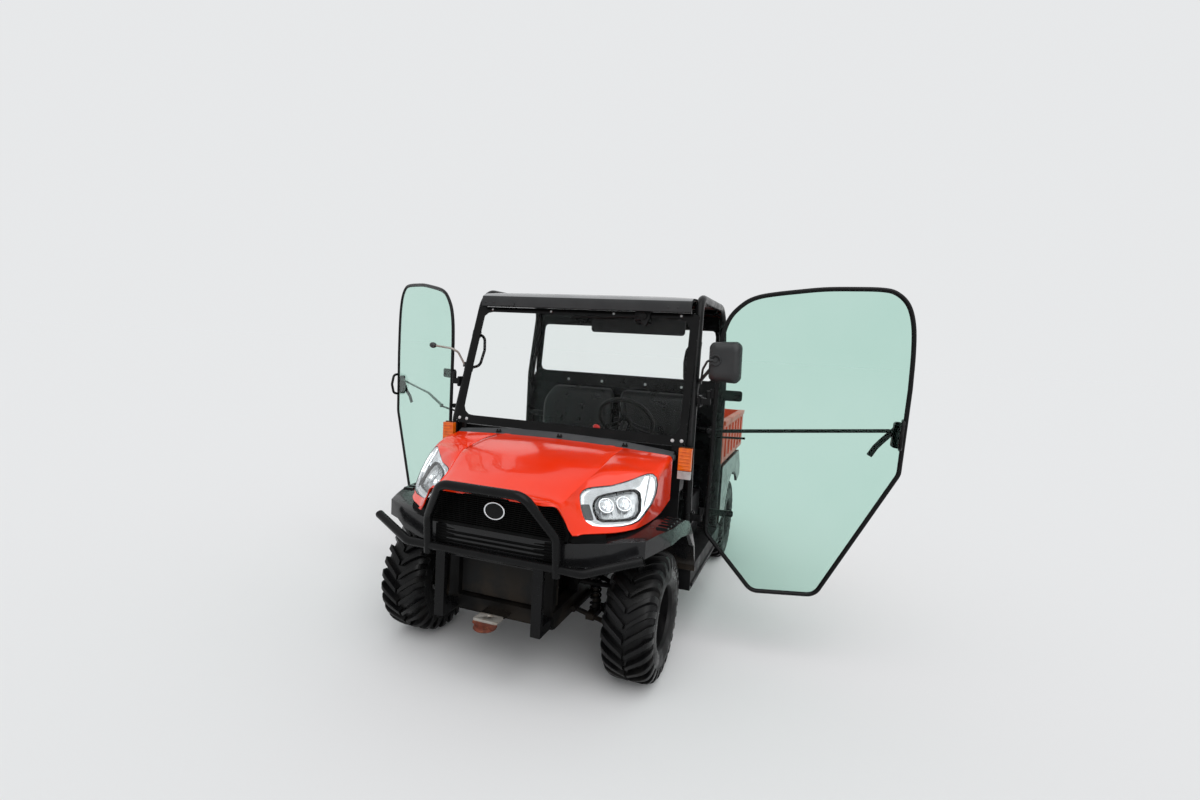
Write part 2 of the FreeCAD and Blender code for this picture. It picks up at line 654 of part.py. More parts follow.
def bull_bar():
    lower = bar("bar_lower", [("-703", "-358", "711"), ("-457", "-447", "637"), ("457", "-447", "637"), ("703", "-358", "711")],
                "bar_radius", 80, 10)
    hoop = bar("bar_hoop", [("-337", "-446", "600"), ("-333", "-463", "780"), ("-211", "-553", "970"), ("211", "-553", "970"),
                            ("333", "-463", "780"), ("337", "-446", "600")], "bar_radius", 70, 10)
    stay = block("bar_stay", ("rail_inner + 5", "rail_outer - 5"), ("-465", "rail_front - joint_gap"), ("rail_low + 10", "rail_low + 60"))
    riser = block("bar_riser", ("rail_inner + 5", "rail_outer - 5"), ("-465", "-440"), ("rail_low + 10", "640"))
    node("bull_bar", join("bull_bar", [lower, hoop] + both("bar_stay", stay, riser)))
    plate = block("tow_base", ("-65", "65"), ("-475", "rail_front - joint_gap"), ("rail_low + 30", "rail_low + 42"))
    drop = block("tow_drop", ("-65", "65"), ("-475", "-463"), ("rail_low + 5", "rail_low + 40"))
    hole = rod("tow_hole", "z", ("0", "-430"), ("rail_low", "rail_low + 60"), "13")
    node("tow_plate", cut("tow_plate", join("tow_bracket", [plate, drop]), [hole]))


# Cab
def slanted(foot, head, offset):
    """A (y, z) line parallel to the one from foot to head, moved forward by an offset: its two ends."""
    a, b = FreeCAD.Vector(foot[0], foot[1], 0), FreeCAD.Vector(head[0], head[1], 0)
    way = (b - a).normalize()
    shift = FreeCAD.Vector(-way.y, way.x, 0) * offset
    return a + shift, b + shift


def pillar_y(z):
    """How far back the front pillar's middle lies at a height above the belt."""
    return "(cab_front + 5 + (%s - belt) * (rops_front - cab_front - 5) / (rops_top - belt))" % z


def pillar_x(z):
    return "(rops_foot + (%s - belt) * (rops_half - rops_foot) / (rops_top - belt))" % z


def roll_frame():
    foot_z = "sill_high + joint_gap + 6"
    hoop = [("rops_foot", "cab_front + 95", foot_z), ("rops_foot", "cab_front + 5", "belt"), ("rops_half", "rops_front", "rops_top"),
            ("rops_half", "rops_rear", "rops_top"), ("rops_foot", "rops_rear - 30", "1400"), ("rops_foot", "rops_rear - 30", foot_z)]
    pieces = both("hoop", bar("hoop", hoop, "rops_radius", 130, 10))
    for i, (half, y, z) in enumerate((("rops_half", "rops_front + 60", "rops_top - 22"), ("rops_half", "rops_rear - 60", "rops_top - 22"),
                                      ("rops_foot", "rops_rear - 30", "1100"))):
        pieces.append(bar("cross%d" % i, [("-" + half, y, z), (half, y, z)], "rops_radius - 2"))
    high, low = "rops_top - 262", "rops_top - 484"
    handle = bar("grab_handle", [(pillar_x(high), pillar_y(high), high), (pillar_x(high) + " - 52", pillar_y(high) + " + 10", high + " - 20"),
                                 (pillar_x(high) + " - 62", pillar_y(high) + " - 2", high + " - 102"),
                                 (pillar_x(low) + " - 60", pillar_y(low) + " + 30", low + " + 22"), (pillar_x(low), pillar_y(low), low)],
                 "9", 40, 6)
    pieces += both("grab_handle", handle)
    for i, y in enumerate(("cab_front + 94", "rops_rear - 30")):
        pieces += both("foot%d" % i, block("foot_plate%d" % i, ("rops_foot - 36", "rops_foot + 32"), (y + " - 34", y + " + 34"),
                                           ("sill_high + joint_gap", "sill_high + joint_gap + 12")))
    for i, z in enumerate(("hinge_low", "hinge_high")):
        span = (z + " - joint_gap - hinge_height", z + " - joint_gap")
        knuckle = rod("hinge_knuckle%d" % i, "z", ("door_plane", "door_hinge"), span, "hinge_radius")
        reach = "max(door_hinge + 8; %s)" % pillar_y("hinge_high") if i else "door_hinge + 8"
        arm = block("hinge_arm%d" % i, (pillar_x("hinge_high") if i else "rops_foot", "door_plane"), ("door_hinge - 8", reach), span)
        pieces += both("hinge%d" % i, knuckle, arm)
    node("rops_frame", join("rops_frame", pieces))


def roof():
    under, over = "rops_top - 22 + (rops_radius - 2) * cos(22.5) + joint_gap", "rops_top + 1 + roof_thick"
    panel = prism("roof_panel", "YZ", ("-roof_half", "roof_half"),
                  [("roof_front", "rops_top - 88"), ("roof_front + 10", "rops_top - 36"), ("rops_front - 25", over), ("rops_rear + 50", over),
                   ("rops_rear + 50", under), ("rops_front - 15", under), ("roof_front + 24", "rops_top - 42"),
                   ("roof_front + 14", "rops_top - 88")])
    node("roof_panel", panel)


def glazing():
    foot, head = (value("cab_front + 5"), value("belt")), (value("rops_front"), value("rops_top"))
    back_low, back_high = slanted(foot, head, size("rops_radius") + size("joint_gap"))
    slope = (back_high.x - back_low.x) / (back_high.y - back_low.y)

    def at(z, forward=0):
        return (back_low.x + (z - back_low.y) * slope - forward, z)
    low, high, pane = size("belt") - 8, size("rops_top") - 92, size("pane")
    node("windscreen", prism("windscreen", "YZ", ("-712", "712"), [at(low), at(low, pane), at(high, pane), at(high)]))
    foot, head = (value("rops_rear - 30"), 1400), (value("rops_rear"), value("rops_top"))
    back_low, back_high = slanted(foot, head, -size("rops_radius") - size("joint_gap"))
    slope = (back_high.x - back_low.x) / (back_high.y - back_low.y)
    low, high = 1400, size("rops_top") - 92
    node("rear_window", prism("rear_window", "YZ", ("-706", "706"), [at(low), at(low, -pane), at(high, -pane), at(high)]))
    node("rear_panel", block("rear_panel", ("-rops_foot - 8", "rops_foot + 8"),
                             ("rops_rear - 30 + rops_radius + joint_gap", "rops_rear + 3"), ("840", "1390")))


def dash():
    body = prism("dash_body", "YZ", ("-680", "680"),
                 [("cab_front + 12 + joint_gap", "860"), ("480", "860"), ("560", "960"), ("560", "1020"), ("509.6", "1082.2"), ("430", "1110"), ("cab_front + 20", "1110")])
    shelf = block("dash_shelf", ("-600", "-80"), ("520", "600"), ("900", "1010"))
    pedals = []
    for i, x in enumerate(("190", "330")):
        pedals.append(bar("pedal_arm%d" % i, [(x, "470", "870"), (x, "480", "600"), (x, "505", "540")], "7", 30, 6))
        pedals.append(block("pedal_pad%d" % i, ("%s - 32" % x, "%s + 32" % x), ("500", "512"), ("500", "575")))
    node("dashboard", join("dashboard", [cut("dash_shell", body, [shelf])] + pedals))
    wheel_at = point("255", "695", "1190")
    lean = FreeCAD.Vector(0, 95, 77).normalize()
    below = 27 + size("joint_gap")
    column = [wheel_at - lean * (below + 184.3), wheel_at - lean * below]
    node("steering_column", made("steering_column", flat_bar(column, 22, 10)))
    outline = [(14 * math.sin(math.radians(60 * k)), 168 + 14 * math.cos(math.radians(60 * k))) for k in range(6)]
    ring = ring_of_facets(outline, 20)
    spokes = [turned(Part.makeBox(12, 26, 162, FreeCAD.Vector(-6, -13, 0)), angle) for angle in (0, 120, 240)]
    boss = Part.makeCylinder(42, 34, FreeCAD.Vector(-27, 0, 0), FreeCAD.Vector(1, 0, 0))
    wheel = made("steering_wheel", ring.multiFuse([boss] + spokes))
    wheel.Placement = FreeCAD.Placement(wheel_at, FreeCAD.Rotation(FreeCAD.Vector(1, 0, 0), lean))
    node("steering_wheel", wheel)


def seats():
    node("seat_base", block("seat_base", ("-seat_base_half", "seat_base_half"), ("seat_front + 30", "seat_rear - 10"),
                            ("floor_low + floor_thick", "cushion_low")))
    node("seat_cushion", block("seat_cushion", ("-seat_half", "seat_half"), ("seat_front", "seat_rear - 110"),
                               ("cushion_low + joint_gap", "cushion_high")))
    lean = prism("seat_back_lean", "YZ", ("0", "seat_half"),
                 [("seat_rear - 105", "cushion_low + joint_gap"), ("seat_rear - 25", "cushion_low + joint_gap"),
                  ("seat_rear + 5", "back_high"), ("seat_rear - 55", "back_high"), ("seat_rear - 100", "cushion_high + 20")])
    shape = prism("seat_back_front", "XZ", ("seat_front", "seat_rear + 40"),
                  [("22", "cushion_low"), ("seat_half", "cushion_low"), ("seat_half", "back_high - 90"), ("seat_half - 50", "back_high - 8"),
                   ("seat_half - 90", "back_high"), ("60", "back_high"), ("22", "back_high - 40")])
    node("seat_backs", pair("seat_backs", common("seat_back", [lean, shape])))


def fittings():
    shell = prism("mirror_shell", "XZ", ("300", "372"),
                  [("804", "1480"), ("950", "1474"), ("972", "1500"), ("968", "1670"), ("945", "1692"), ("815", "1684"), ("800", "1660")])
    seat = pillar_x("1455") + " + rops_radius"
    arm = bar("mirror_arm", [(seat + " + 10", pillar_y("1470"), "1470"), ("rops_foot + 45", "378", "1500"), ("835", "350", "1575")], "9", 30, 8)
    clamp = block("mirror_clamp", (seat + " - 0.8", seat + " + 15"), (pillar_y("1470") + " - 11", pillar_y("1470") + " + 11"), ("1455", "1485"))
    bare = bar("bare_arm", [(seat + " + 10", pillar_y("1470"), "1470"), ("rops_foot + 40", "372", "1555"), ("915", "345", "1578")], "8", 30, 8)
    ball = rod("bare_ball", "z", ("915", "345"), ("1560", "1598"), "18")
    node("mirrors", group("mirrors", [join("mirror", [shell, arm, clamp]), mirrored("mirror_stub", join("stub", [bare, clamp, ball]))]))
    lens = block("indicator_lens", ("686", "766"), ("cab_front - 92", "cab_front - 44"), ("955", "1126"))
    bracket = block("indicator_bracket", ("rops_foot - 6", "rops_foot + 6"), ("cab_front - 48", "cab_front - 16"), ("1045", "1095"))
    node("indicators", pair("indicators", join("indicator", [lens, bracket])))


# Doors, drawn closed and then swung open about their hinge line
DOOR_OUTLINE = [(33, 650), (298, 354), (628, 374), (985, 1060), (1000, 1500), (955, 1975), (835, 1993), (543, 1986), (279, 1943),
                (169, 1912), (96, 1850), (40, 1690)]


def doors():
    radius, gap = size("door_tube"), size("joint_gap")
    spots = [point("door_plane", "door_hinge + %d" % s, z) for s, z in DOOR_OUTLINE]
    line = bent_line(spots, 60, True)
    frame = flat_bar(line, radius, 8, True)
    inner = "door_plane - 13"
    crossbars = [flat_bar([point(inner, "door_hinge + 16", "1204"), point(inner, "door_hinge + 925", "1280")], 9, 6),
                 flat_bar([point(inner, "door_hinge + 18", "1174"), point(inner, "door_hinge + 202", "1179")], 6, 6)]
    latch = Part.makeBox(40, 50, 150, point("door_plane - 40", "door_hinge + 930", "1185"))
    plates = []
    for z in ("hinge_low", "hinge_high"):
        plates.append(Part.makeBox(8, 170, 40, point("door_plane - 11.5", "door_hinge + 4", z)))
        plates.append(Part.makeCylinder(size("hinge_radius"), 40, point("door_plane", "door_hinge", z), FreeCAD.Vector(0, 0, 1)))
    metal = frame.multiFuse(crossbars + [latch] + plates)
    wire = Part.makePolygon(line + line[:1]).makeOffset2D(-radius - gap)
    if wire.BoundBox.YLength > frame.BoundBox.YLength - 2 * radius:
        wire = Part.makePolygon(line + line[:1]).makeOffset2D(radius + gap)
    pane = Part.Face(wire).extrude(FreeCAD.Vector(size("pane"), 0, 0))
    pane.translate(FreeCAD.Vector(-size("pane") / 2, 0, 0))
    pane = pane.cut(metal)
    for side, sign in (("left", 1), ("right", -1)):
        for kind, shape in (("frame", metal), ("glass", pane)):
            swung = shape.copy() if sign > 0 else shape.mirror(FreeCAD.Vector(0, 0, 0), FreeCAD.Vector(1, 0, 0))
            hinge = point("%d * door_plane" % sign, "door_hinge", 0)
            swung.rotate(hinge, FreeCAD.Vector(0, 0, 1), -sign * size("door_open_" + side))
            name = "door_%s_%s" % (kind, side)
            node(name, made(name, swung))


# Cargo bed, tailgate, rear fenders and dump cylinder
def bed():
    outer = block("bed_outer", ("-bed_half", "bed_half"), ("bed_front", "bed_rear"), ("bed_low", "bed_high"))
    inner = block("bed_inner", ("-bed_half + bed_wall", "bed_half - bed_wall"), ("bed_front + bed_wall", "bed_rear + 10"),
                  ("bed_low + bed_floor", "bed_high + 10"))
    pieces = [cut("bed_tray", outer, [inner])]
    beam = block("bed_beam", ("rail_outer", "rail_outer + 35"), ("bed_front + 60", "bed_rear - 60"), ("bed_low - 30", "bed_low + 5"))
    lug = block("bed_lug", ("rail_outer", "rail_outer + 35"), ("tilt_axis_y - 28", "tilt_axis_y + 28"), ("tilt_axis_z - 28", "bed_low + 5"))
    pieces += both("bed_beam", beam, lug)
    for i, x in enumerate(("-dump_x - 28", "-dump_x + 20")):
        pieces.append(block("dump_ear%d" % i, (x, x + " + 8"), ("dump_eye_y - 40", "dump_eye_y + 40"), ("dump_eye_z - 25", "bed_low + 5")))
    for i, x in enumerate(("300", "560")):
        knuckle = rod("bed_gate_knuckle%d" % i, "x", ("gate_axis_y", "bed_low - 2"), (x, x + " + 40"), "8")
        arm = block("bed_gate_arm%d" % i, (x, x + " + 40"), ("bed_rear - 20", "gate_axis_y"), ("bed_low - 8", "bed_low + 4"))
        pieces += both("bed_gate%d" % i, knuckle, arm)
    for i in range(6):
        y = "bed_front + 110 + %d * 165" % i
        rib = block("bed_rib%d" % i, ("bed_half - 5", "bed_half + 8"), (y, y + " + 60"), ("bed_low + 35", "bed_high - 45"))
        pieces += both("bed_rib%d" % i, rib)
    rail = block("bed_rail", ("bed_half - bed_wall - 4", "bed_half + 12"), ("bed_front", "bed_rear"), ("bed_high - 25", "bed_high + 5"))
    pieces += both("bed_rail", rail)
    solid = join("bed_solid", pieces)
    hole = rod("tilt_hole", "x", ("tilt_axis_y", "tilt_axis_z"), ("-rail_outer - 60", "rail_outer + 60"), "tilt_pin + joint_gap")
    node("cargo_bed", cut("cargo_bed", solid, [hole]))
    panel = block("gate_panel", ("-bed_half", "bed_half"), ("bed_rear + 6", "bed_rear + 6 + gate_wall"), ("bed_low + 8", "bed_high"))
    leaves = [panel]
    for i, x in enumerate(("340 + joint_gap", "600 + joint_gap")):
        knuckle = rod("gate_knuckle%d" % i, "x", ("gate_axis_y", "bed_low - 2"), (x, x + " + 40"), "8")
        arm = block("gate_arm%d" % i, (x, x + " + 40"), ("gate_axis_y - 6", "gate_axis_y + 6"), ("bed_low - 2", "bed_low + 12"))
        leaves += both("gate%d" % i, knuckle, arm)
    node("tailgate", join("tailgate", leaves))


def tail():
    shell = prism("rear_fender_side", "YZ", ("485", "bed_half + 15"),
                  [("1430", "sill_high"), ("1430", "835"), ("2300", "835"), ("rail_rear", "690"), ("rail_rear", "fascia_low")])
    hollow = prism("rear_fender_hollow", "YZ", ("470", "bed_half - 5"),
                   [("1445", "400"), ("1445", "815"), ("2290", "815"), ("rail_rear - 16", "680"), ("rail_rear - 16", "400")])
    arch = rod("rear_arch", "x", ("wheel_base", "tyre_radius"), ("470", "bed_half + 35"), "tyre_radius + 64.5")
    brace = block("rear_fender_brace", ("rail_outer + joint_gap", "500"), ("1432", "1440"), ("rail_low + 60", "820"))
    fender = join("rear_fender", [cut("rear_fender_shell", shell, [hollow, arch]), brace])
    node("rear_fenders", pair("rear_fenders", fender))
    lamp = block("tail_lamp", ("640", "735"), ("rail_rear + joint_gap", "rail_rear + 20"), ("fascia_low + 10", "fascia_low + 80"))
    node("tail_lamps", pair("tail_lamps", lamp))
    node("rear_bumper", block("rear_bumper", ("-400", "400"), ("rail_rear + joint_gap", "rail_rear + 50"),
                              ("rail_low + 40", "rail_low + 130")))
    hitch = block("hitch_plate", ("-60", "60"), ("rail_rear + joint_gap", "rail_rear + 120"), ("rail_low + 15", "rail_low + 30"))
    web = block("hitch_web", ("-60", "60"), ("rail_rear - 50", "rail_rear + 20"), ("rail_low - 8", "rail_low + 9"))
    hole = rod("hitch_hole", "z", ("0", "rail_rear + 90"), ("rail_low", "rail_low + 60"), "13")
    node("rear_hitch", cut("rear_hitch", hitch, [hole]))


def dump_cylinder():
    foot, eye = ("-dump_x", "dump_foot_y", "dump_foot_z"), ("-dump_x", "dump_eye_y", "dump_eye_z")
    a, b = point(*foot), point(*eye)
    length = (b - a).Length
    along, across = (b - a).normalize(), FreeCAD.Vector(1, 0, 0)
    ring = Part.makeCylinder(26, 34, a - across * 17, across)
    wall = Part.makeCylinder(28, length - 75, a + along * 12, along)
    bore = Part.makeCylinder(18, length - 60, a + along * 44, along)
    pin_hole = Part.makeCylinder(12, 60, a - across * 30, across)
    node("dump_barrel", made("dump_barrel", wall.fuse(ring).cut(bore).cut(pin_hole)))
    stem = Part.makeCylinder(14, length - 65, a + along * 50, along)
    piston = Part.makeCylinder(18 - size("joint_gap"), 24, a + along * 50, along)
    end = Part.makeCylinder(18, 34, b - across * 17, across)
    node("dump_rod", made("dump_rod", stem.multiFuse([piston, end])))


wheels()
chassis()
front_suspension()
rear_suspension()
floor()
fascia()
grille()
hood()
bull_bar()
roll_frame()
roof()
glazing()
dash()
seats()
fittings()
doors()
bed()
tail()
dump_cylinder()
doc.recompute()

faults = [thing.Name for thing in doc.Objects if "Invalid" in thing.State or "Error" in thing.State]
for name, thing in NODES:
    shape = thing.Shape
    if shape.isNull() or not shape.isValid() or not shape.Solids:
        faults.append(name)
if faults:
    raise SystemExit("pieces that did not come out: " + ", ".join(faults))

os.makedirs("parts", exist_ok=True)
for name, thing in NODES:
    thing.Shape.exportStep("parts/%s.step" % name)
print(len(NODES), "pieces written")
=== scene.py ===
"""A side by side utility vehicle, dressed over its CAD frame.

Sizes are millimetres, with y measured back from the front axle. P turns them into the scene's metres.
"""
import json
import math

import bmesh
import bpy
import numpy as np
from mathutils import Matrix, Vector

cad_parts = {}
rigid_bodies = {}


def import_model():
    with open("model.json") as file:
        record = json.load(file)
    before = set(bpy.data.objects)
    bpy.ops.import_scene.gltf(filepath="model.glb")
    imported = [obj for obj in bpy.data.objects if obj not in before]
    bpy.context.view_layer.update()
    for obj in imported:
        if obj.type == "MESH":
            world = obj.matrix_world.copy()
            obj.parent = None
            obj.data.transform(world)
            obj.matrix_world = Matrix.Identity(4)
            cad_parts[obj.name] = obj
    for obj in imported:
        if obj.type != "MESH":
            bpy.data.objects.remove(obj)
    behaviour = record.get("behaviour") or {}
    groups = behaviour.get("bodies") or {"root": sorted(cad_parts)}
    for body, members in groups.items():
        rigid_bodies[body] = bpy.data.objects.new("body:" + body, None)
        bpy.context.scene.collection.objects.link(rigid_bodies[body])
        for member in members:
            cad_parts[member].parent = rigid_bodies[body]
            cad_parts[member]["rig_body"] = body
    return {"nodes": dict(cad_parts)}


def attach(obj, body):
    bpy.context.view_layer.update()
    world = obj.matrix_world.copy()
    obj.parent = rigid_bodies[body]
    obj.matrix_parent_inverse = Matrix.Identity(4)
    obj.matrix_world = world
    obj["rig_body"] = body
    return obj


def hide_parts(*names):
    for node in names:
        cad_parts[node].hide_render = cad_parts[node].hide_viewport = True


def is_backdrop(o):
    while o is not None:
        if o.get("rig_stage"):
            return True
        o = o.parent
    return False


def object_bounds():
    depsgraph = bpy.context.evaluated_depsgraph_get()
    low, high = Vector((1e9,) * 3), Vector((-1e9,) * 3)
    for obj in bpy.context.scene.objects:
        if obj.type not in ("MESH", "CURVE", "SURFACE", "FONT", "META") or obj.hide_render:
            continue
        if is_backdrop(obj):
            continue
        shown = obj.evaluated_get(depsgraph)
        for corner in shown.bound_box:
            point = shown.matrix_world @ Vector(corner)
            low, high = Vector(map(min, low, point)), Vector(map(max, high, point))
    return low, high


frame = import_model()
cad_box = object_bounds()
FRONT_AXLE, WHEEL_BASE, HALF_TRACK, TYRE_RADIUS = -1005, 2010, 620, 317.5
X, Z = Vector((1, 0, 0)), Vector((0, 0, 1))


def P(x, y, z):
    return Vector((x, y + FRONT_AXLE, z)) / 1000


# Materials
SOCKETS = {"metal": "Metallic", "shine": "Specular IOR Level", "coat": "Coat Weight", "coat_rough": "Coat Roughness",
           "clear": "Transmission Weight", "ior": "IOR"}


class Finish:
    """A procedural material about one Principled shader, whose methods lay more over it."""

    def __init__(self, name, color, rough, **sockets):
        self.mat = bpy.data.materials.new(name)
        self.mat.use_nodes = True
        self.tree = self.mat.node_tree
        self.shader = self.tree.nodes["Principled BSDF"]
        self.color, self.last_color, self.last_bump = (*color, 1), None, None
        self.shader.inputs["Base Color"].default_value = self.color
        self.shader.inputs["Roughness"].default_value = rough
        for key, number in sockets.items():
            self.shader.inputs[SOCKETS[key]].default_value = number
        self.at = self.add("ShaderNodeTexCoord").outputs["Object"]

    def add(self, kind, props=None, **inputs):
        node = self.tree.nodes.new(kind)
        for key, setting in (props or {}).items():
            setattr(node, key, setting)
        for key, number in inputs.items():
            node.inputs[key.replace("_", " ")].default_value = number
        return node

    def link(self, a, b):
        self.tree.links.new(a, b)

    def noise(self, scale, detail=4):
        tex = self.add("ShaderNodeTexNoise", Scale=scale, Detail=detail)
        self.link(self.at, tex.inputs["Vector"])
        return tex.outputs["Fac"]

    def spread(self, fac, low, high, out_low=0.0, out_high=1.0):
        ramp = self.add("ShaderNodeMapRange", From_Min=low, From_Max=high, To_Min=out_low, To_Max=out_high)
        self.link(fac, ramp.inputs["Value"])
        return ramp.outputs["Result"]

    def times(self, a, b):
        both = self.add("ShaderNodeMath", {"operation": "MULTIPLY"})
        self.link(a, both.inputs[0])
        self.link(b, both.inputs[1])
        return both.outputs["Value"]

    def tint(self, fac, color):
        """Mixes a second colour over what is there."""
        mix = self.add("ShaderNodeMix", {"data_type": "RGBA"})
        if self.last_color:
            self.link(self.last_color, mix.inputs["A"])
        else:
            mix.inputs["A"].default_value = self.color
        mix.inputs["B"].default_value = (*color, 1)
        self.link(fac, mix.inputs["Factor"])
        self.last_color = mix.outputs["Result"]
        self.link(self.last_color, self.shader.inputs["Base Color"])
        return self

    def mottle(self, color, scale, low=0.4, high=0.7, detail=5):
        return self.tint(self.spread(self.noise(scale, detail), low, high), color)

    def gloss(self, scale, low, high):
        """Roughness that wanders between two levels."""
        self.link(self.spread(self.noise(scale), 0.35, 0.65, low, high), self.shader.inputs["Roughness"])
        return self

    def mud(self, top, soft, scale=9):
        """Dried splashes that thin out with height above the ground."""
        split = self.add("ShaderNodeSeparateXYZ")
        self.link(self.at, split.inputs["Vector"])
        height = self.spread(split.outputs["Z"], top, top - soft)
        return self.tint(self.times(height, self.spread(self.noise(scale, 8), 0.42, 0.62)), MUD)

    def bump(self, height, strength, distance):
        node = self.add("ShaderNodeBump", Strength=strength, Distance=distance)
        self.link(height, node.inputs["Height"])
        if self.last_bump:
            self.link(self.last_bump, node.inputs["Normal"])
        self.last_bump = node.outputs["Normal"]
        self.link(self.last_bump, self.shader.inputs["Normal"])
        return self

    def grain(self, scale, strength=0.2, distance=0.0006, detail=3):
        return self.bump(self.noise(scale, detail), strength, distance)

    def drops(self, scale, strength):
        """Rain drops that stand on the surface."""
        cells = self.add("ShaderNodeTexVoronoi", Scale=scale, Randomness=1.0)
        self.link(self.at, cells.inputs["Vector"])
        bead = self.spread(cells.outputs["Distance"], 0.0, 0.3, 1.0, 0.0)
        return self.bump(self.times(bead, self.spread(self.noise(14, 2), 0.45, 0.6)), strength, 0.0012)


MUD = (0.05, 0.038, 0.028)
ORANGE = Finish("orange_paint", (0.95, 0.036, 0.003), 0.2, coat=0.4, coat_rough=0.04, shine=0.25)
ORANGE.mottle((0.90, 0.030, 0.002), 3).gloss(7, 0.14, 0.26).grain(220, 0.04, 0.0004).drops(75, 0.25)
ORANGE_BED = Finish("orange_bed", (0.82, 0.060, 0.008), 0.35, coat=0.2, coat_rough=0.2, shine=0.3)
ORANGE_BED.mottle((0.62, 0.06, 0.015), 6).mud(1.0, 0.5).gloss(9, 0.3, 0.5).grain(120, 0.1)
FLARE = Finish("flare_black", (0.007, 0.007, 0.0075), 0.2, coat=0.25, coat_rough=0.07, shine=0.22)
FLARE.mottle((0.011, 0.011, 0.012), 5).mud(0.62, 0.25).gloss(12, 0.14, 0.3).grain(300, 0.06, 0.0004).drops(85, 0.3)
STEEL = Finish("black_steel", (0.0035, 0.0035, 0.0038), 0.28, shine=0.16)
STEEL.mottle((0.006, 0.006, 0.0063), 8).gloss(11, 0.2, 0.36).grain(260, 0.1, 0.0005).drops(110, 0.25)
FRAME = Finish("frame_steel", (0.003, 0.003, 0.003), 0.5, shine=0.1)
FRAME.mottle((0.006, 0.0055, 0.005), 10).mud(0.42, 0.3, 7).gloss(8, 0.4, 0.7).grain(160, 0.25, 0.0008)
GREY = Finish("grey_plastic", (0.034, 0.036, 0.039), 0.42, shine=0.4)
GREY.mottle((0.045, 0.047, 0.05), 12).gloss(10, 0.3, 0.5).grain(900, 0.35, 0.0004)
DARK = Finish("dark_plastic", (0.005, 0.005, 0.0055), 0.48, shine=0.16)
DARK.mottle((0.009, 0.009, 0.0095), 9).gloss(9, 0.38, 0.58).grain(800, 0.35, 0.0004)
VISOR = Finish("visor_plastic", (0.022, 0.023, 0.024), 0.42, shine=0.35)
VISOR.mottle((0.032, 0.033, 0.034), 8).gloss(6, 0.34, 0.5).grain(500, 0.2, 0.0005).drops(70, 0.3)
# The roof top's light grey is a painted sky reflection over the roof's own dark plastic, which VISOR gives the lip and
# underside.
ROOF_TOP_PAINTED_REFLECTION = Finish("roof_top_painted_reflection", (0.13, 0.133, 0.137), 0.24, coat=0.8, coat_rough=0.1)
ROOF_TOP_PAINTED_REFLECTION.mottle((0.17, 0.173, 0.178), 7).gloss(6, 0.16, 0.34).grain(500, 0.15, 0.0005).drops(70, 0.35)
MESH = Finish("grille_black", (0.002, 0.002, 0.002), 0.5, shine=0.08).mottle((0.006, 0.006, 0.006), 9).grain(400, 0.15)
VINYL = Finish("seat_vinyl", (0.006, 0.006, 0.0065), 0.32, shine=0.3).mottle((0.010, 0.010, 0.0105), 14)
VINYL.mottle((0.016, 0.015, 0.014), 4, 0.55, 0.8).gloss(13, 0.24, 0.44).grain(1400, 0.4, 0.0005, 2)
RUBBER = Finish("rubber", (0.004, 0.004, 0.004), 0.55, shine=0.15).mottle((0.013, 0.013, 0.013), 15).grain(500, 0.25)
TYRE = Finish("tyre_rubber", (0.004, 0.004, 0.0045), 0.42, shine=0.2).mottle((0.008, 0.0078, 0.0075), 11)
TYRE.mottle((0.018, 0.015, 0.012), 5, 0.6, 0.8, 8).gloss(10, 0.2, 0.6).grain(420, 0.35, 0.001)
RIM_STEEL = Finish("rim_steel", (0.006, 0.006, 0.006), 0.4, shine=0.25)
RIM_STEEL.mottle((0.025, 0.021, 0.017), 8, 0.5, 0.72, 8).gloss(9, 0.3, 0.6).grain(140, 0.25, 0.0008)
HUB_STEEL = Finish("hub_steel", (0.05, 0.045, 0.04), 0.5, metal=0.5)
HUB_STEEL.mottle((0.10, 0.06, 0.035), 20, 0.5, 0.7).grain(200, 0.3)
SATIN = Finish("lamp_satin", (0.50, 0.51, 0.52), 0.28, metal=0.85).mottle((0.38, 0.39, 0.40), 25).gloss(20, 0.2, 0.36)
CHROME = Finish("lamp_chrome", (0.80, 0.81, 0.83), 0.1, metal=1.0).mottle((0.7, 0.71, 0.73), 20).gloss(15, 0.06, 0.16)
BARE = Finish("bare_steel", (0.36, 0.34, 0.31), 0.4, metal=0.35)
BARE.mottle((0.2, 0.16, 0.12), 25, 0.5, 0.7).gloss(30, 0.3, 0.5).grain(200, 0.2)
STRIP = Finish("worn_strip", (0.16, 0.165, 0.165), 0.35, shine=0.5).mottle((0.10, 0.10, 0.10), 18).gloss(20, 0.25, 0.45)
RUST = Finish("rusty_steel", (0.16, 0.035, 0.018), 0.8, metal=0.2)
RUST.mottle((0.06, 0.02, 0.012), 30).mottle((0.24, 0.08, 0.035), 55, 0.55, 0.7).grain(160, 0.6, 0.001)
CAST = Finish("engine_grey", (0.014, 0.014, 0.014), 0.6, metal=0.2, shine=0.2)
CAST.mottle((0.008, 0.008, 0.0075), 9).mud(0.6, 0.4).grain(150, 0.5, 0.001)
AMBER = Finish("amber_lens", (0.88, 0.17, 0.003), 0.15, coat=0.5, shine=0.3)
AMBER.mottle((0.70, 0.09, 0.002), 30).grain(60, 0.3, 0.002, 1)
CLEAR = Finish("clear_lens", (0.52, 0.53, 0.52), 0.12, coat=0.6).mottle((0.36, 0.36, 0.35), 30).grain(70, 0.3, 0.002, 1)
RED = Finish("red_lens", (0.45, 0.006, 0.005), 0.12, coat=0.5, shine=0.3)
RED.mottle((0.3, 0.006, 0.005), 30).grain(60, 0.3, 0.002, 1)
KNOB = Finish("red_knob", (0.8, 0.02, 0.015), 0.3, coat=0.4).mottle((0.6, 0.015, 0.01), 40)
GLASS = Finish("clear_glass", (0.96, 0.985, 0.975), 0.01, clear=1.0, ior=1.15).gloss(3, 0.003, 0.015)
GREEN = Finish("green_glass", (0.61, 0.845, 0.755), 0.01, clear=1.0, ior=1.2).gloss(3, 0.003, 0.02)
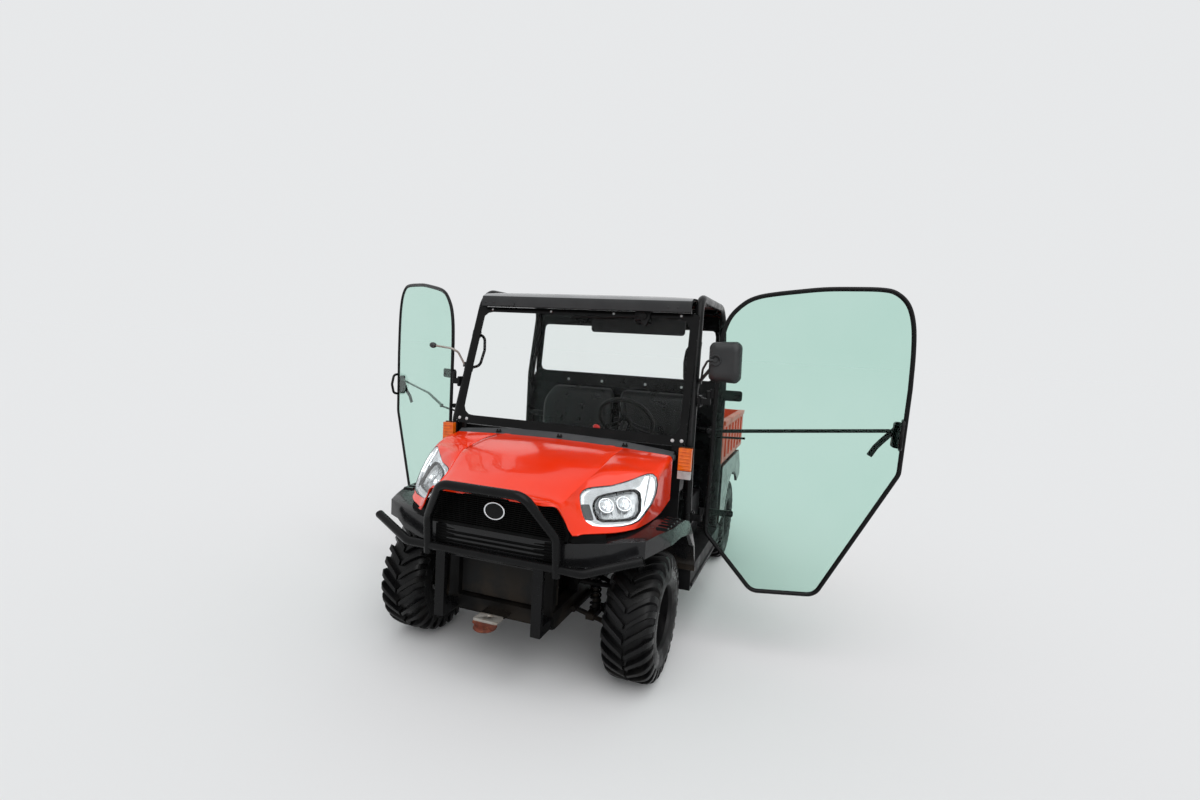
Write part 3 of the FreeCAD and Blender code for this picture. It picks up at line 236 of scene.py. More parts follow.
GREEN.mottle((0.58, 0.825, 0.73), 2)
LENS = Finish("lamp_lens", (0.96, 0.98, 0.98), 0.02, clear=1.0, ior=1.2).gloss(4, 0.003, 0.02)
BORDER = Finish("screen_border", (0.002, 0.002, 0.0022), 0.25, shine=0.15).mottle((0.006, 0.006, 0.006), 6)
PIPING = Finish("seat_piping", (0.05, 0.05, 0.052), 0.22, coat=0.5).mottle((0.035, 0.035, 0.036), 40)
CAP = Finish("white_cap", (0.62, 0.63, 0.63), 0.35).mottle((0.45, 0.45, 0.45), 60)


# Lines
def angles(count, shift=0.0):
    """Evenly spaced angles round a circle."""
    return [2 * math.pi * (k + shift) / count for k in range(count)]


def circle(centre, side, up, radius, count, shift=0.0):
    return [centre + (side * math.cos(a) + up * math.sin(a)) * (radius / 1000) for a in angles(count, shift)]


def square_to(way):
    """Two directions that are square to a way and to each other."""
    side = way.orthogonal().normalized()
    return side, way.cross(side)


def bent(points, bend, closed=False, step=9):
    """Points along a line whose corners are turned about a bend radius, with a chord every few degrees."""
    points = [Vector(p) for p in points]
    if not bend:
        return points
    line, count = [], len(points)
    for i, here in enumerate(points):
        if not closed and i in (0, count - 1):
            line.append(here)
            continue
        before, after = points[i - 1] - here, points[(i + 1) % count] - here
        u, w = before.normalized(), after.normalized()
        turn = math.pi - u.angle(w)
        if turn < 0.02:
            line.append(here)
            continue
        reach = min(bend / 1000 * math.tan(turn / 2), 0.45 * before.length, 0.45 * after.length)
        centre = here + (u + w).normalized() * (reach / math.sin(turn / 2))
        first, last = here + u * reach - centre, here + w * reach - centre
        chords = max(2, round(math.degrees(turn) / step))
        for k in range(chords + 1):
            a, b = (1 - k / chords) * turn, k / chords * turn
            line.append(centre + (first * math.sin(a) + last * math.sin(b)) / math.sin(turn))
    return line


def hermite(a, b, m, n, s):
    """Between a and b, a share s of the way, on a cubic that leaves with slope m and arrives with n."""
    return ((2 * s ** 3 - 3 * s ** 2 + 1) * a + (s ** 3 - 2 * s ** 2 + s) * m
            + (3 * s ** 2 - 2 * s ** 3) * b + (s ** 3 - s ** 2) * n)


def flowing(points, steps):
    """A smooth line through points given as tuples of numbers."""
    spots = [np.array(p, float) for p in points]
    slopes = [spots[1] - spots[0]] + [(c - a) / 2 for a, c in zip(spots, spots[2:])] + [spots[-1] - spots[-2]]
    line = []
    for a, b, m, n in zip(spots, spots[1:], slopes, slopes[1:]):
        line += [hermite(a, b, m, n, k / steps) for k in range(steps)]
    return line + [spots[-1]]


def between(rows, y):
    """A table's row at another y, along smooth curves that don't pass beyond its rows."""
    keys = np.array([r[0] for r in rows], float)
    data = np.array([[v for cell in r[1:] for v in (cell if isinstance(cell, tuple) else (cell,))] for r in rows])
    data = data.astype(float)
    if keys[0] > keys[-1]:
        keys, data = keys[::-1], data[::-1]
    slope = np.zeros_like(data)
    step = np.diff(keys)[:, None]
    rise = np.diff(data, axis=0) / step
    even_slope = (rise[:-1] * step[1:] + rise[1:] * step[:-1]) / (step[:-1] + step[1:])
    slope[1:-1] = np.where(rise[:-1] * rise[1:] > 0, even_slope, 0)
    slope[0], slope[-1] = rise[0], rise[-1]
    i = int(np.clip(np.searchsorted(keys, y) - 1, 0, len(keys) - 2))
    h = keys[i + 1] - keys[i]
    return hermite(data[i], data[i + 1], h * slope[i], h * slope[i + 1], (y - keys[i]) / h)


def soft(points, reaches, steps=5):
    """A plane line whose inner corners are rounded by quadratic arcs."""
    spots = [np.array(p, float) for p in points]
    line = [spots[0]]
    for a, b, c, reach in zip(spots, spots[1:], spots[2:], reaches):
        ends = []
        for far in (a, c):
            span = max(np.linalg.norm(far - b), 1e-6)
            ends.append(b + (far - b) * min(reach, 0.45 * span) / span)
        for k in range(steps + 1):
            s = k / steps
            line.append((1 - s) ** 2 * ends[0] + 2 * s * (1 - s) * b + s * s * ends[1])
    return line + [spots[-1]]


def even(ring, count, start):
    """A closed line again with evenly spaced points, from the one nearest to a start point."""
    n = len(ring)
    lengths = [0.0]
    for i in range(n):
        lengths.append(lengths[-1] + (ring[(i + 1) % n] - ring[i]).length)
    first = min(range(n), key=lambda k: (ring[k] - start).length)
    out = []
    for j in range(count):
        t = (lengths[first] + lengths[-1] * j / count) % lengths[-1]
        k = max(i for i in range(n) if lengths[i] <= t + 1e-12)
        s = (t - lengths[k]) / max(lengths[k + 1] - lengths[k], 1e-9)
        out.append(ring[k].lerp(ring[(k + 1) % n], s))
    return out


# Meshes
def in_scene(name, data):
    obj = bpy.data.objects.new(name, data)
    bpy.context.scene.collection.objects.link(obj)
    return obj


def modify(obj, kind, **settings):
    mod = obj.modifiers.new(kind.lower(), kind)
    for key, setting in settings.items():
        setattr(mod, key, setting)


def bake(obj):
    """Turns an object's modifiers into its mesh."""
    graph = bpy.context.evaluated_depsgraph_get()
    graph.update()
    mesh = bpy.data.meshes.new_from_object(obj.evaluated_get(graph), preserve_all_data_layers=True, depsgraph=graph)
    obj.modifiers.clear()
    obj.data = mesh


class Piece:
    """One mesh put together from simple and swept forms. m is the material slot of the next form."""

    def __init__(self):
        self.bm, self.m = bmesh.new(), 0

    def face(self, verts):
        try:
            f = self.bm.faces.new(verts)
        except ValueError:
            return
        f.material_index, f.smooth = self.m, True

    def cap(self, ring):
        self.face([self.bm.verts.new(p) for p in ring])

    def rings(self, rings, closed_ring=True, closed_line=False, caps=True):
        """Quads between rings with as many points each."""
        made = [[self.bm.verts.new(p) for p in ring] for ring in rings]
        n = len(made[0])
        for a, b in list(zip(made, made[1:])) + ([(made[-1], made[0])] if closed_line else []):
            for k in range(n if closed_ring else n - 1):
                self.face([a[k], a[(k + 1) % n], b[(k + 1) % n], b[k]])
        if caps and closed_ring and not closed_line:
            self.face(made[0][::-1])
            self.face(made[-1])

    def tube(self, points, radius, bend=0, sides=18, closed=False, squash=1.0):
        line = bent(points, bend, closed)
        count = len(line)
        ways = [(line[(i + 1) % count] - line[i]).normalized() for i in range(count if closed else count - 1)]
        side = ways[0].cross(Z)
        if side.length < 0.1:
            side = ways[0].cross(X)
        side.normalize()
        spots = circle(line[0], side, side.cross(ways[0]) * squash, radius, sides, 0.5)
        rings = []
        for i in range(count):
            before = ways[i - 1] if closed or i else ways[0]
            after = ways[i] if i < len(ways) else ways[-1]
            mitre, way = before + after, before if i else after
            spots = [s + way * ((line[i] - s).dot(mitre) / way.dot(mitre)) for s in spots]
            rings.append(spots)
        self.rings(rings, closed_line=closed)

    def cyl(self, a, b, radius, sides=28, radius2=None):
        side, up = square_to((b - a).normalized())
        ends = (a, radius), (b, radius if radius2 is None else radius2)
        self.rings([circle(centre, side, up, r, sides) for centre, r in ends])

    def turned(self, profile, centre, axis, sides=48):
        """A ring or dish from (along, radius) points about an axis."""
        axis = Vector(axis).normalized()
        side, up = square_to(axis)
        rings = []
        for a in angles(sides):
            out = side * math.cos(a) + up * math.sin(a)
            rings.append([centre + (axis * x + out * r) / 1000 for x, r in profile])
        self.rings(rings, closed_line=True)

    def prism(self, plane, across, outline, bend=0):
        """A flat outline in the YZ, XZ or XY plane, extruded across it."""
        make = {"YZ": lambda a, b, c: P(c, a, b), "XZ": lambda a, b, c: P(a, c, b), "XY": P}[plane]
        self.rings([bent([make(a, b, c) for a, b in outline], bend, True) for c in across])

    def block(self, x, y, z):
        self.prism("XY", z, [(x[0], y[0]), (x[1], y[0]), (x[1], y[1]), (x[0], y[1])])

    def bolt(self, at, normal, radius=9, height=5, hexed=True):
        """A hexagon's or a dome's head on a washer."""
        normal = Vector(normal).normalized()
        rise = normal * (height / 1000)
        self.cyl(at, at + rise * 0.35, radius * 1.35, 20)
        if hexed:
            self.cyl(at, at + rise, radius, 6)
            return
        side, up = square_to(normal)
        self.rings([circle(at + rise * lift, side, up, radius * share, 16)
                    for lift, share in ((0, 1), (0.45, 0.94), (0.8, 0.7), (1.0, 0.35))])

    def mirror(self):
        """Adds the same forms on the vehicle's other side."""
        copies = {}
        for f in list(self.bm.faces):
            for v in f.verts:
                if v not in copies:
                    copies[v] = self.bm.verts.new((-v.co.x, v.co.y, v.co.z))
            new = self.bm.faces.new([copies[v] for v in f.verts][::-1])
            new.material_index, new.smooth = f.material_index, f.smooth

    def merge(self, reach):
        bmesh.ops.remove_doubles(self.bm, verts=self.bm.verts, dist=reach)

    def as_object(self, name):
        bmesh.ops.recalc_face_normals(self.bm, faces=self.bm.faces)
        mesh = bpy.data.meshes.new(name)
        self.bm.to_mesh(mesh)
        self.bm.free()
        return in_scene(name, mesh)

    def done(self, name, finishes, body, *nodes, bevel=0.0, segments=2, angle=32):
        """The finished object, with the body that carries it and the CAD nodes that it replaces."""
        obj = self.as_object(name)
        for finish in finishes if isinstance(finishes, list) else [finishes]:
            obj.data.materials.append(finish.mat)
        if bevel:
            modify(obj, "BEVEL", width=bevel / 1000, segments=segments, limit_method="ANGLE",
                   angle_limit=math.radians(angle), use_clamp_overlap=True)
            modify(obj, "WEIGHTED_NORMAL", keep_sharp=True)
            bake(obj)
        else:
            obj.data.set_sharp_from_angle(angle=math.radians(angle))
        if nodes:
            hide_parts(*nodes)
        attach(obj, body)
        return obj


def carve(obj, forms):
    """Cuts pieces' forms out of an object's mesh."""
    for form in forms:
        cutter = form.as_object("cutter")
        modify(obj, "BOOLEAN", operation="DIFFERENCE", solver="EXACT", object=cutter)
        bake(obj)
        bpy.data.objects.remove(cutter)


def dress(node, finishes, bevel=3, segments=2, angle=32, extra=None):
    """A CAD node's form again with its edges rounded, and what a function adds, as a piece of its own."""
    body = frame["nodes"][node]["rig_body"]
    piece = Piece()
    bm = piece.bm
    bm.from_mesh(frame["nodes"][node].data)
    piece.merge(2e-5)
    bmesh.ops.dissolve_limit(bm, angle_limit=math.radians(1.0), verts=bm.verts, edges=bm.edges)
    for f in bm.faces:
        f.material_index, f.smooth = 0, True
    if extra:
        added = Piece()
        extra(added)
        added.done(node + "_details", finishes, body, bevel=0.8)
    piece.done(node + "_dressed", finishes, body, node, bevel=bevel, segments=segments, angle=angle)


# Wheels. Profiles are (out from the wheel's middle plane, radius).
TYRE_HALF = [(-100, 153), (-112, 158), (-122, 178), (-127, 204), (-124, 232), (-113, 258), (-98, 275), (-76, 285),
             (-40, 289), (0, 290)]
# Along a lug: out from the middle plane, radius of its top and of its root
LUG = [(6, 317.2, 283), (30, 317.4, 283), (62, 316.5, 281), (88, 312.5, 274), (104, 304.5, 262), (115, 290, 250),
       (121.5, 270, 240), (124.5, 252, 236)]
LUGS_A_ROW, LUG_SLANT, LUG_RADIUS = 27, 84, 300
HOLES, HOLE_RADIUS, HOLE_WIDE, HOLE_HIGH = 9, 104, 14, 13
BARREL = [(-100, 151.7), (-104, 158), (-100, 163), (-95, 158), (-92, 145), (-60, 141), (-44, 136), (-22, 136),
          (-20, 140), (20, 141), (60, 145), (92, 146), (95, 158), (100, 163), (104, 158), (100, 151.7)]
BEAD = 151.6
DISC = [(-19.5, 142), (-19.5, 118), (-12, 108), (-6, 92), (-10, 74), (-19.5, 66), (-19.5, 40), (-14, 40), (-14, 66),
        (-4, 76), (0, 92), (-6, 112), (-14, 122), (-14, 142)]


def wheel(name, sign, y):
    centre, body = P(sign * HALF_TRACK, y, TYRE_RADIUS), "wheel_" + name

    def spot(x, angle, radius):
        return centre + Vector((sign * x, -radius * math.sin(angle), -radius * math.cos(angle))) / 1000

    def spun(piece, profile, sides):
        piece.turned([(sign * x, r) for x, r in profile], centre, X, sides)

    tyre = Piece()
    spun(tyre, TYRE_HALF + [(-x, r) for x, r in reversed(TYRE_HALF[:-1])] + [(96, 150), (-96, 150)], 90)
    for side in (1, -1):
        for radius, crest in ((196, 127.4), (240, 123.6)):
            rib = (124, radius - 3), (crest, radius), (122, radius + 4), (110, radius)
            spun(tyre, [(side * x, r) for x, r in rib], 72)
        for base in angles(LUGS_A_ROW):
            rings = []
            for x, top, root in LUG:
                middle = base + LUG_SLANT * ((min(x, 110) / 110) ** 0.85 - 0.5) / LUG_RADIUS
                half = (11 + 4 * max(x - 70, 0) / 54) / LUG_RADIUS
                rings.append([spot(side * x, middle + half * share, radius)
                              for share, radius in ((-1.35, root), (-1, top), (1, top), (1.35, root))])
            tyre.rings(rings)
    tyre.done("tyre_" + name + "_tread", TYRE, body, "tyre_" + name, bevel=3.2, angle=34)

    rim = Piece()
    inner = [(x, r - 5) for x, r in reversed(BARREL[2:-2])]
    spun(rim, [(x, min(r, BEAD)) for x, r in BARREL + inner], 64)
    spun(rim, DISC, 64)
    shell = rim.done("rim_" + name + "_dish", RIM_STEEL, body, "rim_" + name, angle=40)
    holes = []
    for a in angles(HOLES):
        hole = Piece()
        hole.rings([[spot(x, a + HOLE_WIDE / HOLE_RADIUS * math.cos(t), HOLE_RADIUS + HOLE_HIGH * math.sin(t))
                     for t in angles(16)] for x in (-60, 40)])
        holes.append(hole)
    carve(shell, holes)
    hub = Piece()
    spun(hub, ((-19, 43), (2, 41), (8, 36), (10, 20), (10.5, 4), (-19, 4)), 40)
    for a in angles(4, 0.5):
        hub.bolt(spot(-13, a, 53), (sign, 0, 0), 8.5, 16)
    hub.cyl(spot(60, 0.4, 139), spot(72, 0.4, 128), 4, 12)
    hub.done("hub_" + name + "_cap", HUB_STEEL, body, bevel=0.8)


for end, wheel_y in (("front", 0), ("rear", WHEEL_BASE)):
    for side, sign in (("left", 1), ("right", -1)):
        wheel(end + "_" + side, sign, wheel_y)

# Running gear. A shock's rounds are: slot, foot, head and radius.
SHOCK_X, COIL_RADIUS, COIL_WIRE, COIL_TURNS, COIL_STEPS = 370, 30, 5.5, 6.5, 91
for end, y, low in (("front", 0, 289.8), ("rear", WHEEL_BASE, 357.8)):
    shock = Piece()
    line = []
    bottom, top, reach = low + 6, low + 205, COIL_RADIUS - COIL_WIRE
    for i in range(COIL_STEPS + 1):
        a = 2 * math.pi * COIL_TURNS * i / COIL_STEPS
        line.append(P(SHOCK_X + reach * math.cos(a), y + reach * math.sin(a),
                      bottom + COIL_WIRE + (top - bottom - 2 * COIL_WIRE) * i / COIL_STEPS))
    shock.tube(line, COIL_WIRE, 0, 8)
    for shock.m, foot, head, radius in ((0, low, low + 6, 29.5), (0, low + 203, low + 209, 29.5),
                                        (1, low + 4, low + 120, 17), (1, low + 118, low + 210, 9),
                                        (1, low + 208, 672, 19), (1, 670, 687.5, 13)):
        shock.cyl(P(SHOCK_X, y, foot), P(SHOCK_X, y, head), radius)
    shock.mirror()
    shock.done(end + "_springs", [STEEL, CAST], "chassis", end + "_shocks", bevel=0.8)

for name, finish, bevel, segments in (
        ("chassis_frame", FRAME, 1.8, 2), ("skid_plate", FRAME, 1.8, 2), ("front_arms", FRAME, 1.8, 2),
        ("rear_arms", FRAME, 1.8, 2), ("knuckle_left", FRAME, 1.8, 2), ("knuckle_right", FRAME, 1.8, 2),
        ("dump_barrel", STEEL, 1.5, 2), ("dump_rod", BARE, 1.2, 2), ("rear_bumper", STEEL, 5, 2),
        ("rear_hitch", BARE, 1.5, 2), ("rear_panel", STEEL, 2, 2), ("floor_pan", DARK, 4, 2),
        ("rear_fenders", FLARE, 12, 4), ("seat_base", DARK, 8, 2), ("radiator", CAST, 2, 2)):
    dress(name, finish, bevel, segments)


def engine_ribs(piece):
    for i in range(7):
        y = 1500 + i * 90
        piece.block((-213, 213), (y, y + 8), (700, 769))
    for x in (-213, 205):
        piece.prism("YZ", (x, x + 8), [(1490, 380), (2140, 380), (2060, 560), (1600, 560)], 30)


dress("engine_block", CAST, 6, extra=engine_ribs)

tow = Piece()
tow.prism("XY", (330, 342), [(-64, -474), (64, -474), (64, -402), (-64, -402)], 12)
hole = Piece()
hole.cyl(P(0, -430, 320), P(0, -430, 350), 13, 32)
carve(tow.done("tow_plate_steel", BARE, "chassis", "tow_plate", bevel=1.5), [hole])
drop = Piece()
drop.block((-64, 64), (-402, -341), (330, 342))
drop.m = 1
drop.turned([(0, 3), (0, 46), (-5, 54), (-10, 55), (-14, 50), (-14, 3)], P(-10, -450, 306), Z, 40)
drop.cyl(P(-10, -450, 300), P(-10, -450, 330), 15, 24)
drop.prism("XZ", (-475, -464), [(-40, 306), (50, 306), (63, 318), (63, 331), (-63, 331), (-63, 318)], 5)
drop.done("tow_plate_drop", [FRAME, RUST], "chassis", bevel=1.2)

# Hood. Each row: y, then half width and height at the foot, side, shoulder and crease, and the middle's height.
HOOD = [
    (252, (664, 845), (664, 1060), (652, 1077), (390, 1090), 1098),
    (110, (652, 805), (662, 1040), (645, 1058), (391, 1078), 1090),
    (10, (645, 798), (655, 1000), (625, 1030), (391, 1062), 1078),
    (-107, (634, 798), (645, 889), (467, 1030), (390, 1037), 1056),
    (-190, (617, 797), (618, 826), (399, 1000), (370, 1006), 1033),
    (-300, (543, 797), (490, 816), (362, 921), (343, 960), 1004),
    (-400, (428, 797), (418, 812), (346, 916), (326, 927), 968),
    (-436, (398, 797), (390, 814), (339, 910), (318, 924), 955),
    (-448, (354, 878), (352, 882), (334, 914), (315, 927), 952),
    (-458, (336, 910), (334, 913), (327, 921), (312, 930), 950),
    (-482, (262, 920), (260, 922), (256, 927), (250, 932), 946),
    (-505, (120, 926), (118, 928), (116, 931), (112, 934), 941),
]


def whole(half, y):
    """A section's points from one side over the middle to the other."""
    return [P(x, y, z) for x, z in half] + [P(-x, y, z) for x, z in reversed(half[:-1])]


def hood_section(y):
    v = between(HOOD, y)
    corner = 16 + 26 * min(1, max(0, (HOOD[0][0] - y) / 500))
    line = soft([v[0:2], v[2:4], v[4:6], v[6:8]], (corner * 0.7, corner))[:-1]
    line += [(v[6] + 4, v[7] + 0.4), (v[6], v[7] - 2.2), (v[6] - 4, v[7] + 0.6)]
    for k in range(1, 9):
        share = 1 - k / 8
        x = v[6] * share
        line.append((x, v[7] + (v[8] - v[7]) * (1 - share ** 2) - 3 * math.exp(-((x - v[6] + 5) / 4.5) ** 2)))
    return whole(line, y)


shell = Piece()
back_y, nose_y, tip_y = (HOOD[i][0] for i in (0, 7, -1))
hood_at = [back_y + (nose_y - back_y) * i / 44 for i in range(45)]
hood_at += [nose_y + (tip_y - nose_y) * i / 14 for i in range(1, 15)]
shell.rings([hood_section(y) for y in hood_at], closed_ring=False)
hood = shell.done("hood_skin", ORANGE, "hood", "hood", angle=50)
modify(hood, "SOLIDIFY", thickness=0.005, offset=-1)
bake(hood)

# A lamp's face lies in one plane: across and up from its corner
LAMP_CORNER = P(423, -340, 828)
LAMP_OUT = Vector((0.486, -0.623, 0.613)).normalized()
LAMP_U = Z.cross(LAMP_OUT).normalized()
LAMP_V = LAMP_OUT.cross(LAMP_U)
LAMP = [(-12, 143), (4, 161), (31, 174), (60, 179), (152, 187), (243, 210), (307, 233), (346, 245), (374, 245),
        (391, 226), (389, 188), (371, 140), (338, 88), (293, 38), (258, 6), (222, -9), (169, -18), (91, -19),
        (27, -13), (-4, 6), (-14, 31), (-17, 70), (-16, 115)]
LAMP_EYE = [(62, 95), (71, 117), (88, 135), (120, 145), (179, 155), (239, 164), (272, 163), (286, 147), (284, 112),
            (273, 66), (251, 38), (215, 27), (146, 24), (96, 25), (73, 36), (63, 67)]
LAMP_POINTS = 96


def lamp_spot(across, up, depth=0.0):
    return LAMP_CORNER + (LAMP_U * across + LAMP_V * up - LAMP_OUT * depth) / 1000


def lamp_ring(outline, depth, grow=0.0):
    """An outline at a depth behind the lamp's face, grown about its middle by a share."""
    middle = sum((Vector(p) for p in outline), Vector((0, 0))) / len(outline)
    grown = [middle + (Vector(p) - middle) * (1 + grow) for p in outline]
    return bent([lamp_spot(p.x, p.y, depth) for p in grown], 9, True, 10)


def lamp_rings(*steps):
    return [even(lamp_ring(*step), LAMP_POINTS, LAMP_CORNER) for step in steps]


pocket = Piece()
pocket.rings([lamp_ring(LAMP, -60), lamp_ring(LAMP, 120)])
pocket.mirror()
carve(hood, [pocket])
hood.data.set_sharp_from_angle(angle=math.radians(50))

housing = Piece()
housing.rings(lamp_rings((LAMP, 1, -0.004), (LAMP, 5, -0.03), (LAMP, 12, -0.05), (LAMP, 13, -0.10),
                         (LAMP_EYE, 15, 0.30), (LAMP_EYE, 20, 0.17), (LAMP_EYE, 21, 0.12)), caps=False)
housing.m = 1
housing.rings(lamp_rings(*((LAMP_EYE, d, g) for d, g in ((20, 0.125), (15, 0.10), (16, 0.04), (30, 0.0)))), caps=False)
housing.m = 3
bowl = lamp_rings(*((LAMP_EYE, d, g) for d, g in ((30, 0.0), (40, -0.12), (45, -0.4), (47, -0.9))))
housing.rings(bowl, caps=False)
housing.cap(bowl[-1])
housing.m = 0
eye = sum(bowl[-1], Vector()) / LAMP_POINTS
for across, up in ((-52, 2), (38, 8)):
    spot = eye + (LAMP_U * across + LAMP_V * up) / 1000
    housing.turned([(-4, 2), (-4, 30), (6, 34), (20, 37), (20, 34), (8, 26), (3, 12), (2, 1)], spot, LAMP_OUT, 28)
    housing.turned([(2, 1), (2, 9), (16, 9), (19, 6), (20, 1)], spot, LAMP_OUT, 20)
for j in range(9):
    spot = eye + LAMP_U * (-100 + 25 * j) / 1000 + LAMP_OUT * 0.004
    reach = 0.052 if 0 < j < 8 else 0.035
    housing.tube([spot - LAMP_V * reach, spot + LAMP_V * reach * 1.1], 2.0, 0, 6)
for j in range(5):
    across, up = 306 + 12 * j, 86 + 30 * j
    housing.tube([lamp_spot(across - 4, up, 9), lamp_spot(across + 18, up + 52, 9)], 4.5, 0, 6)
housing.m = 2
housing.rings([[lamp_spot(a, b, d) for a, b in ((-6, 24), (41, 24), (30, 96), (-6, 97))] for d in (13, 7)])
housing.mirror()
housing.done("lamp_housings", [CHROME, BORDER, GREY, SATIN], "hood", "headlights", angle=28)

lens = Piece()
rings = lamp_rings((LAMP, 0.5, -0.002), *((LAMP, 0.5 - 7 * math.sin(share * math.pi / 2), -share)
                                          for share in (0.15, 0.35, 0.6, 0.85)))
back = [[p - LAMP_OUT * 0.0025 for p in ring] for ring in rings]
for sheet in (rings, back):
    lens.rings(sheet, caps=False)
    lens.cap(sheet[-1])
lens.rings([rings[0], back[0]], caps=False)
lens.merge(1e-5)
lens.mirror()
lens.done("lamp_lenses", LENS, "hood", angle=50)
gasket = Piece()
gasket.tube(lamp_ring(LAMP, 1.5), 2.2, 0, 8, closed=True)
gasket.mirror()
gasket.done("lamp_gaskets", RUBBER, "hood", angle=60)

lugs = Piece()
lugs.cyl(P(300, 259, 1088), P(340, 259, 1088), 6)
lugs.block((300, 340), (238, 259), (1076, 1085))
lugs.mirror()
lugs.done("hood_lugs", ORANGE, "hood", bevel=1)

# Cowl. Each row: y, then half width and height at the edge and crease, and the middle's height.
COWL = [(267, (660, 1072), (390, 1086), 1095), (286, (660, 1084), (390, 1104), 1114),
        (306, (660, 1092), (390, 1118), 1128), (313, (660, 1082), (390, 1100), 1108),
        (345, (660, 1080), (390, 1090), 1095), (362, (660, 1078), (390, 1088), 1092)]
cowl = Piece()
cowl.cyl(P(340.3, 259, 1088), P(375, 259, 1088), 6)
cowl.block((345, 375), (259, 275), (1082, 1094))
cowl.mirror()
rings = []
for i in range(20):
    y = 267 + 95 * i / 19
    v = between(COWL, y)
    half = [(660, 1040.3), (v[0], v[1])]
    half += [(v[2] + (v[0] - v[2]) * s, v[3] + (v[1] - v[3]) * s) for s in (0.67, 0.34)]
    half += [(v[2] * (1 - k / 8), v[3] + (v[4] - v[3]) * (1 - (1 - k / 8) ** 2)) for k in range(9)]
    rings.append(whole(half, y))
cowl.rings(rings)
cowl.m = 1
low = between(COWL, 280)
for x in (-390, 0, 390):
    z = low[3] if x else low[4]
    cowl.block((x - 16, x + 16), (272, 292), (z - 6, z + 5))
    for dx in (-9, 9):
        cowl.cyl(P(x + dx, 280, z + 4), P(x + dx, 277, z + 15), 4, 12)
cowl.done("cowl_cover", [GREY, RUBBER], "chassis", "cowl_panel", bevel=2.5)


def fascia_details(piece):
    """Ridges on the flares, a black sheet as painted shade in the gap below the hood, and the mesh below the grille."""
    for i in range(5):
        y, outer = -112 + i * 48, 752 + i * 3
        piece.prism("XZ", (y, y + 15), [(684, 786), (outer, 786), (outer - 6, 797), (692, 797)], 4)
    piece.m = 1
    # A thin black sheet stands in the gap below the hood as painted shade.
    piece.prism("XY", (748, 789), [(379, -398), (520, -334), (518, -329), (377, -393)])
    piece.mirror()
    piece.block((-318, 318), (-418.2, -416), (604, 741))
    for i in range(9):
        z = 612 + i * 14
        piece.block((-300, 300), (-424, -418), (z, z + 5))


dress("front_fascia", [FLARE, MESH], 16, 5, 28, extra=fascia_details)

# Grille
GRILLE_TOP = 912
OVAL_WIDE, OVAL_HIGH, OVAL_Z = 56, 42, 845


def grille_half(z):
    """Half the grille's width at a height."""
    return 366 + (z - 745) * 12 / 42 if z < 787 else 378 - (z - 787) * 44 / (GRILLE_TOP - 787)


def ovals(*steps):
    """Rings about the grille's boss: share of its size, and y."""
    return [circle(P(0, y, OVAL_Z), X, Z * (OVAL_HIGH / OVAL_WIDE), OVAL_WIDE * share, 48) for share, y in steps]


grid = Piece()
grid.prism("XZ", (-417.9, -401), [(366, 746), (378, 787), (334, GRILLE_TOP), (320, GRILLE_TOP - 3), (362, 786),
                                  (350, 746)])
grid.mirror()
for i in range(16):
    z = 756 + i * (GRILLE_TOP - 12 - 756) / 15
    half = grille_half(z) - 5
    grid.block((-half, half), (-416.5, -402), (z, z + 4))
grid.prism("XZ", (-417.9, -401), [(-366, 745.4), (366, 745.4), (370, 757), (-370, 757)])
half = grille_half(901)
grid.prism("XZ", (-417.9, -401), [(-half, 901), (half, 901), (334, GRILLE_TOP), (-334, GRILLE_TOP)])
grid.prism("XZ", (-400.5, -398.5), [(-372, 750), (372, 750), (412, 799), (404, 812), (338, 905), (-338, 905),
                                    (-404, 812), (-412, 799)])
for i in range(-11, 12):
    grid.block((i * 28 - 1.5, i * 28 + 1.5), (-406, -399), (756, 905))
grid.m = 1
grid.rings(ovals((1.0, -402), (1.0, -424), (0.97, -427), (0.86, -427), (0.84, -424)), caps=False)
grid.m = 2
grid.rings(ovals((0.85, -423.5), (0.6, -425.2), (0.3, -426.0), (0.02, -426.2)))
grid.done("grille_slats", [MESH, CHROME, DARK], "chassis", "grille", bevel=1.2)

bars = Piece()
bars.block((230, 280), (-440, -340.3), (311, 359))
bars.block((230, 280), (-465, -440), (310, 632))
bars.prism("YZ", (324, 332), [(-462, 596), (-430, 596), (-428, 660), (-462, 660)])
bars.cyl(P(703, -358, 711), P(704.5, -357, 711.6), 19, 24)
bars.mirror()
for bend, run in ((90, [(703, -358, 711), (457, -447, 637)]),
                  (75, [(337, -446, 600), (333, -463, 780), (211, -553, 970)])):
    bars.tube([P(-x, y, z) for x, y, z in run] + [P(x, y, z) for x, y, z in reversed(run)], 21, bend, 24)
bars.done("bull_bar_tubes", STEEL, "chassis", "bull_bar", bevel=1.5, angle=40)

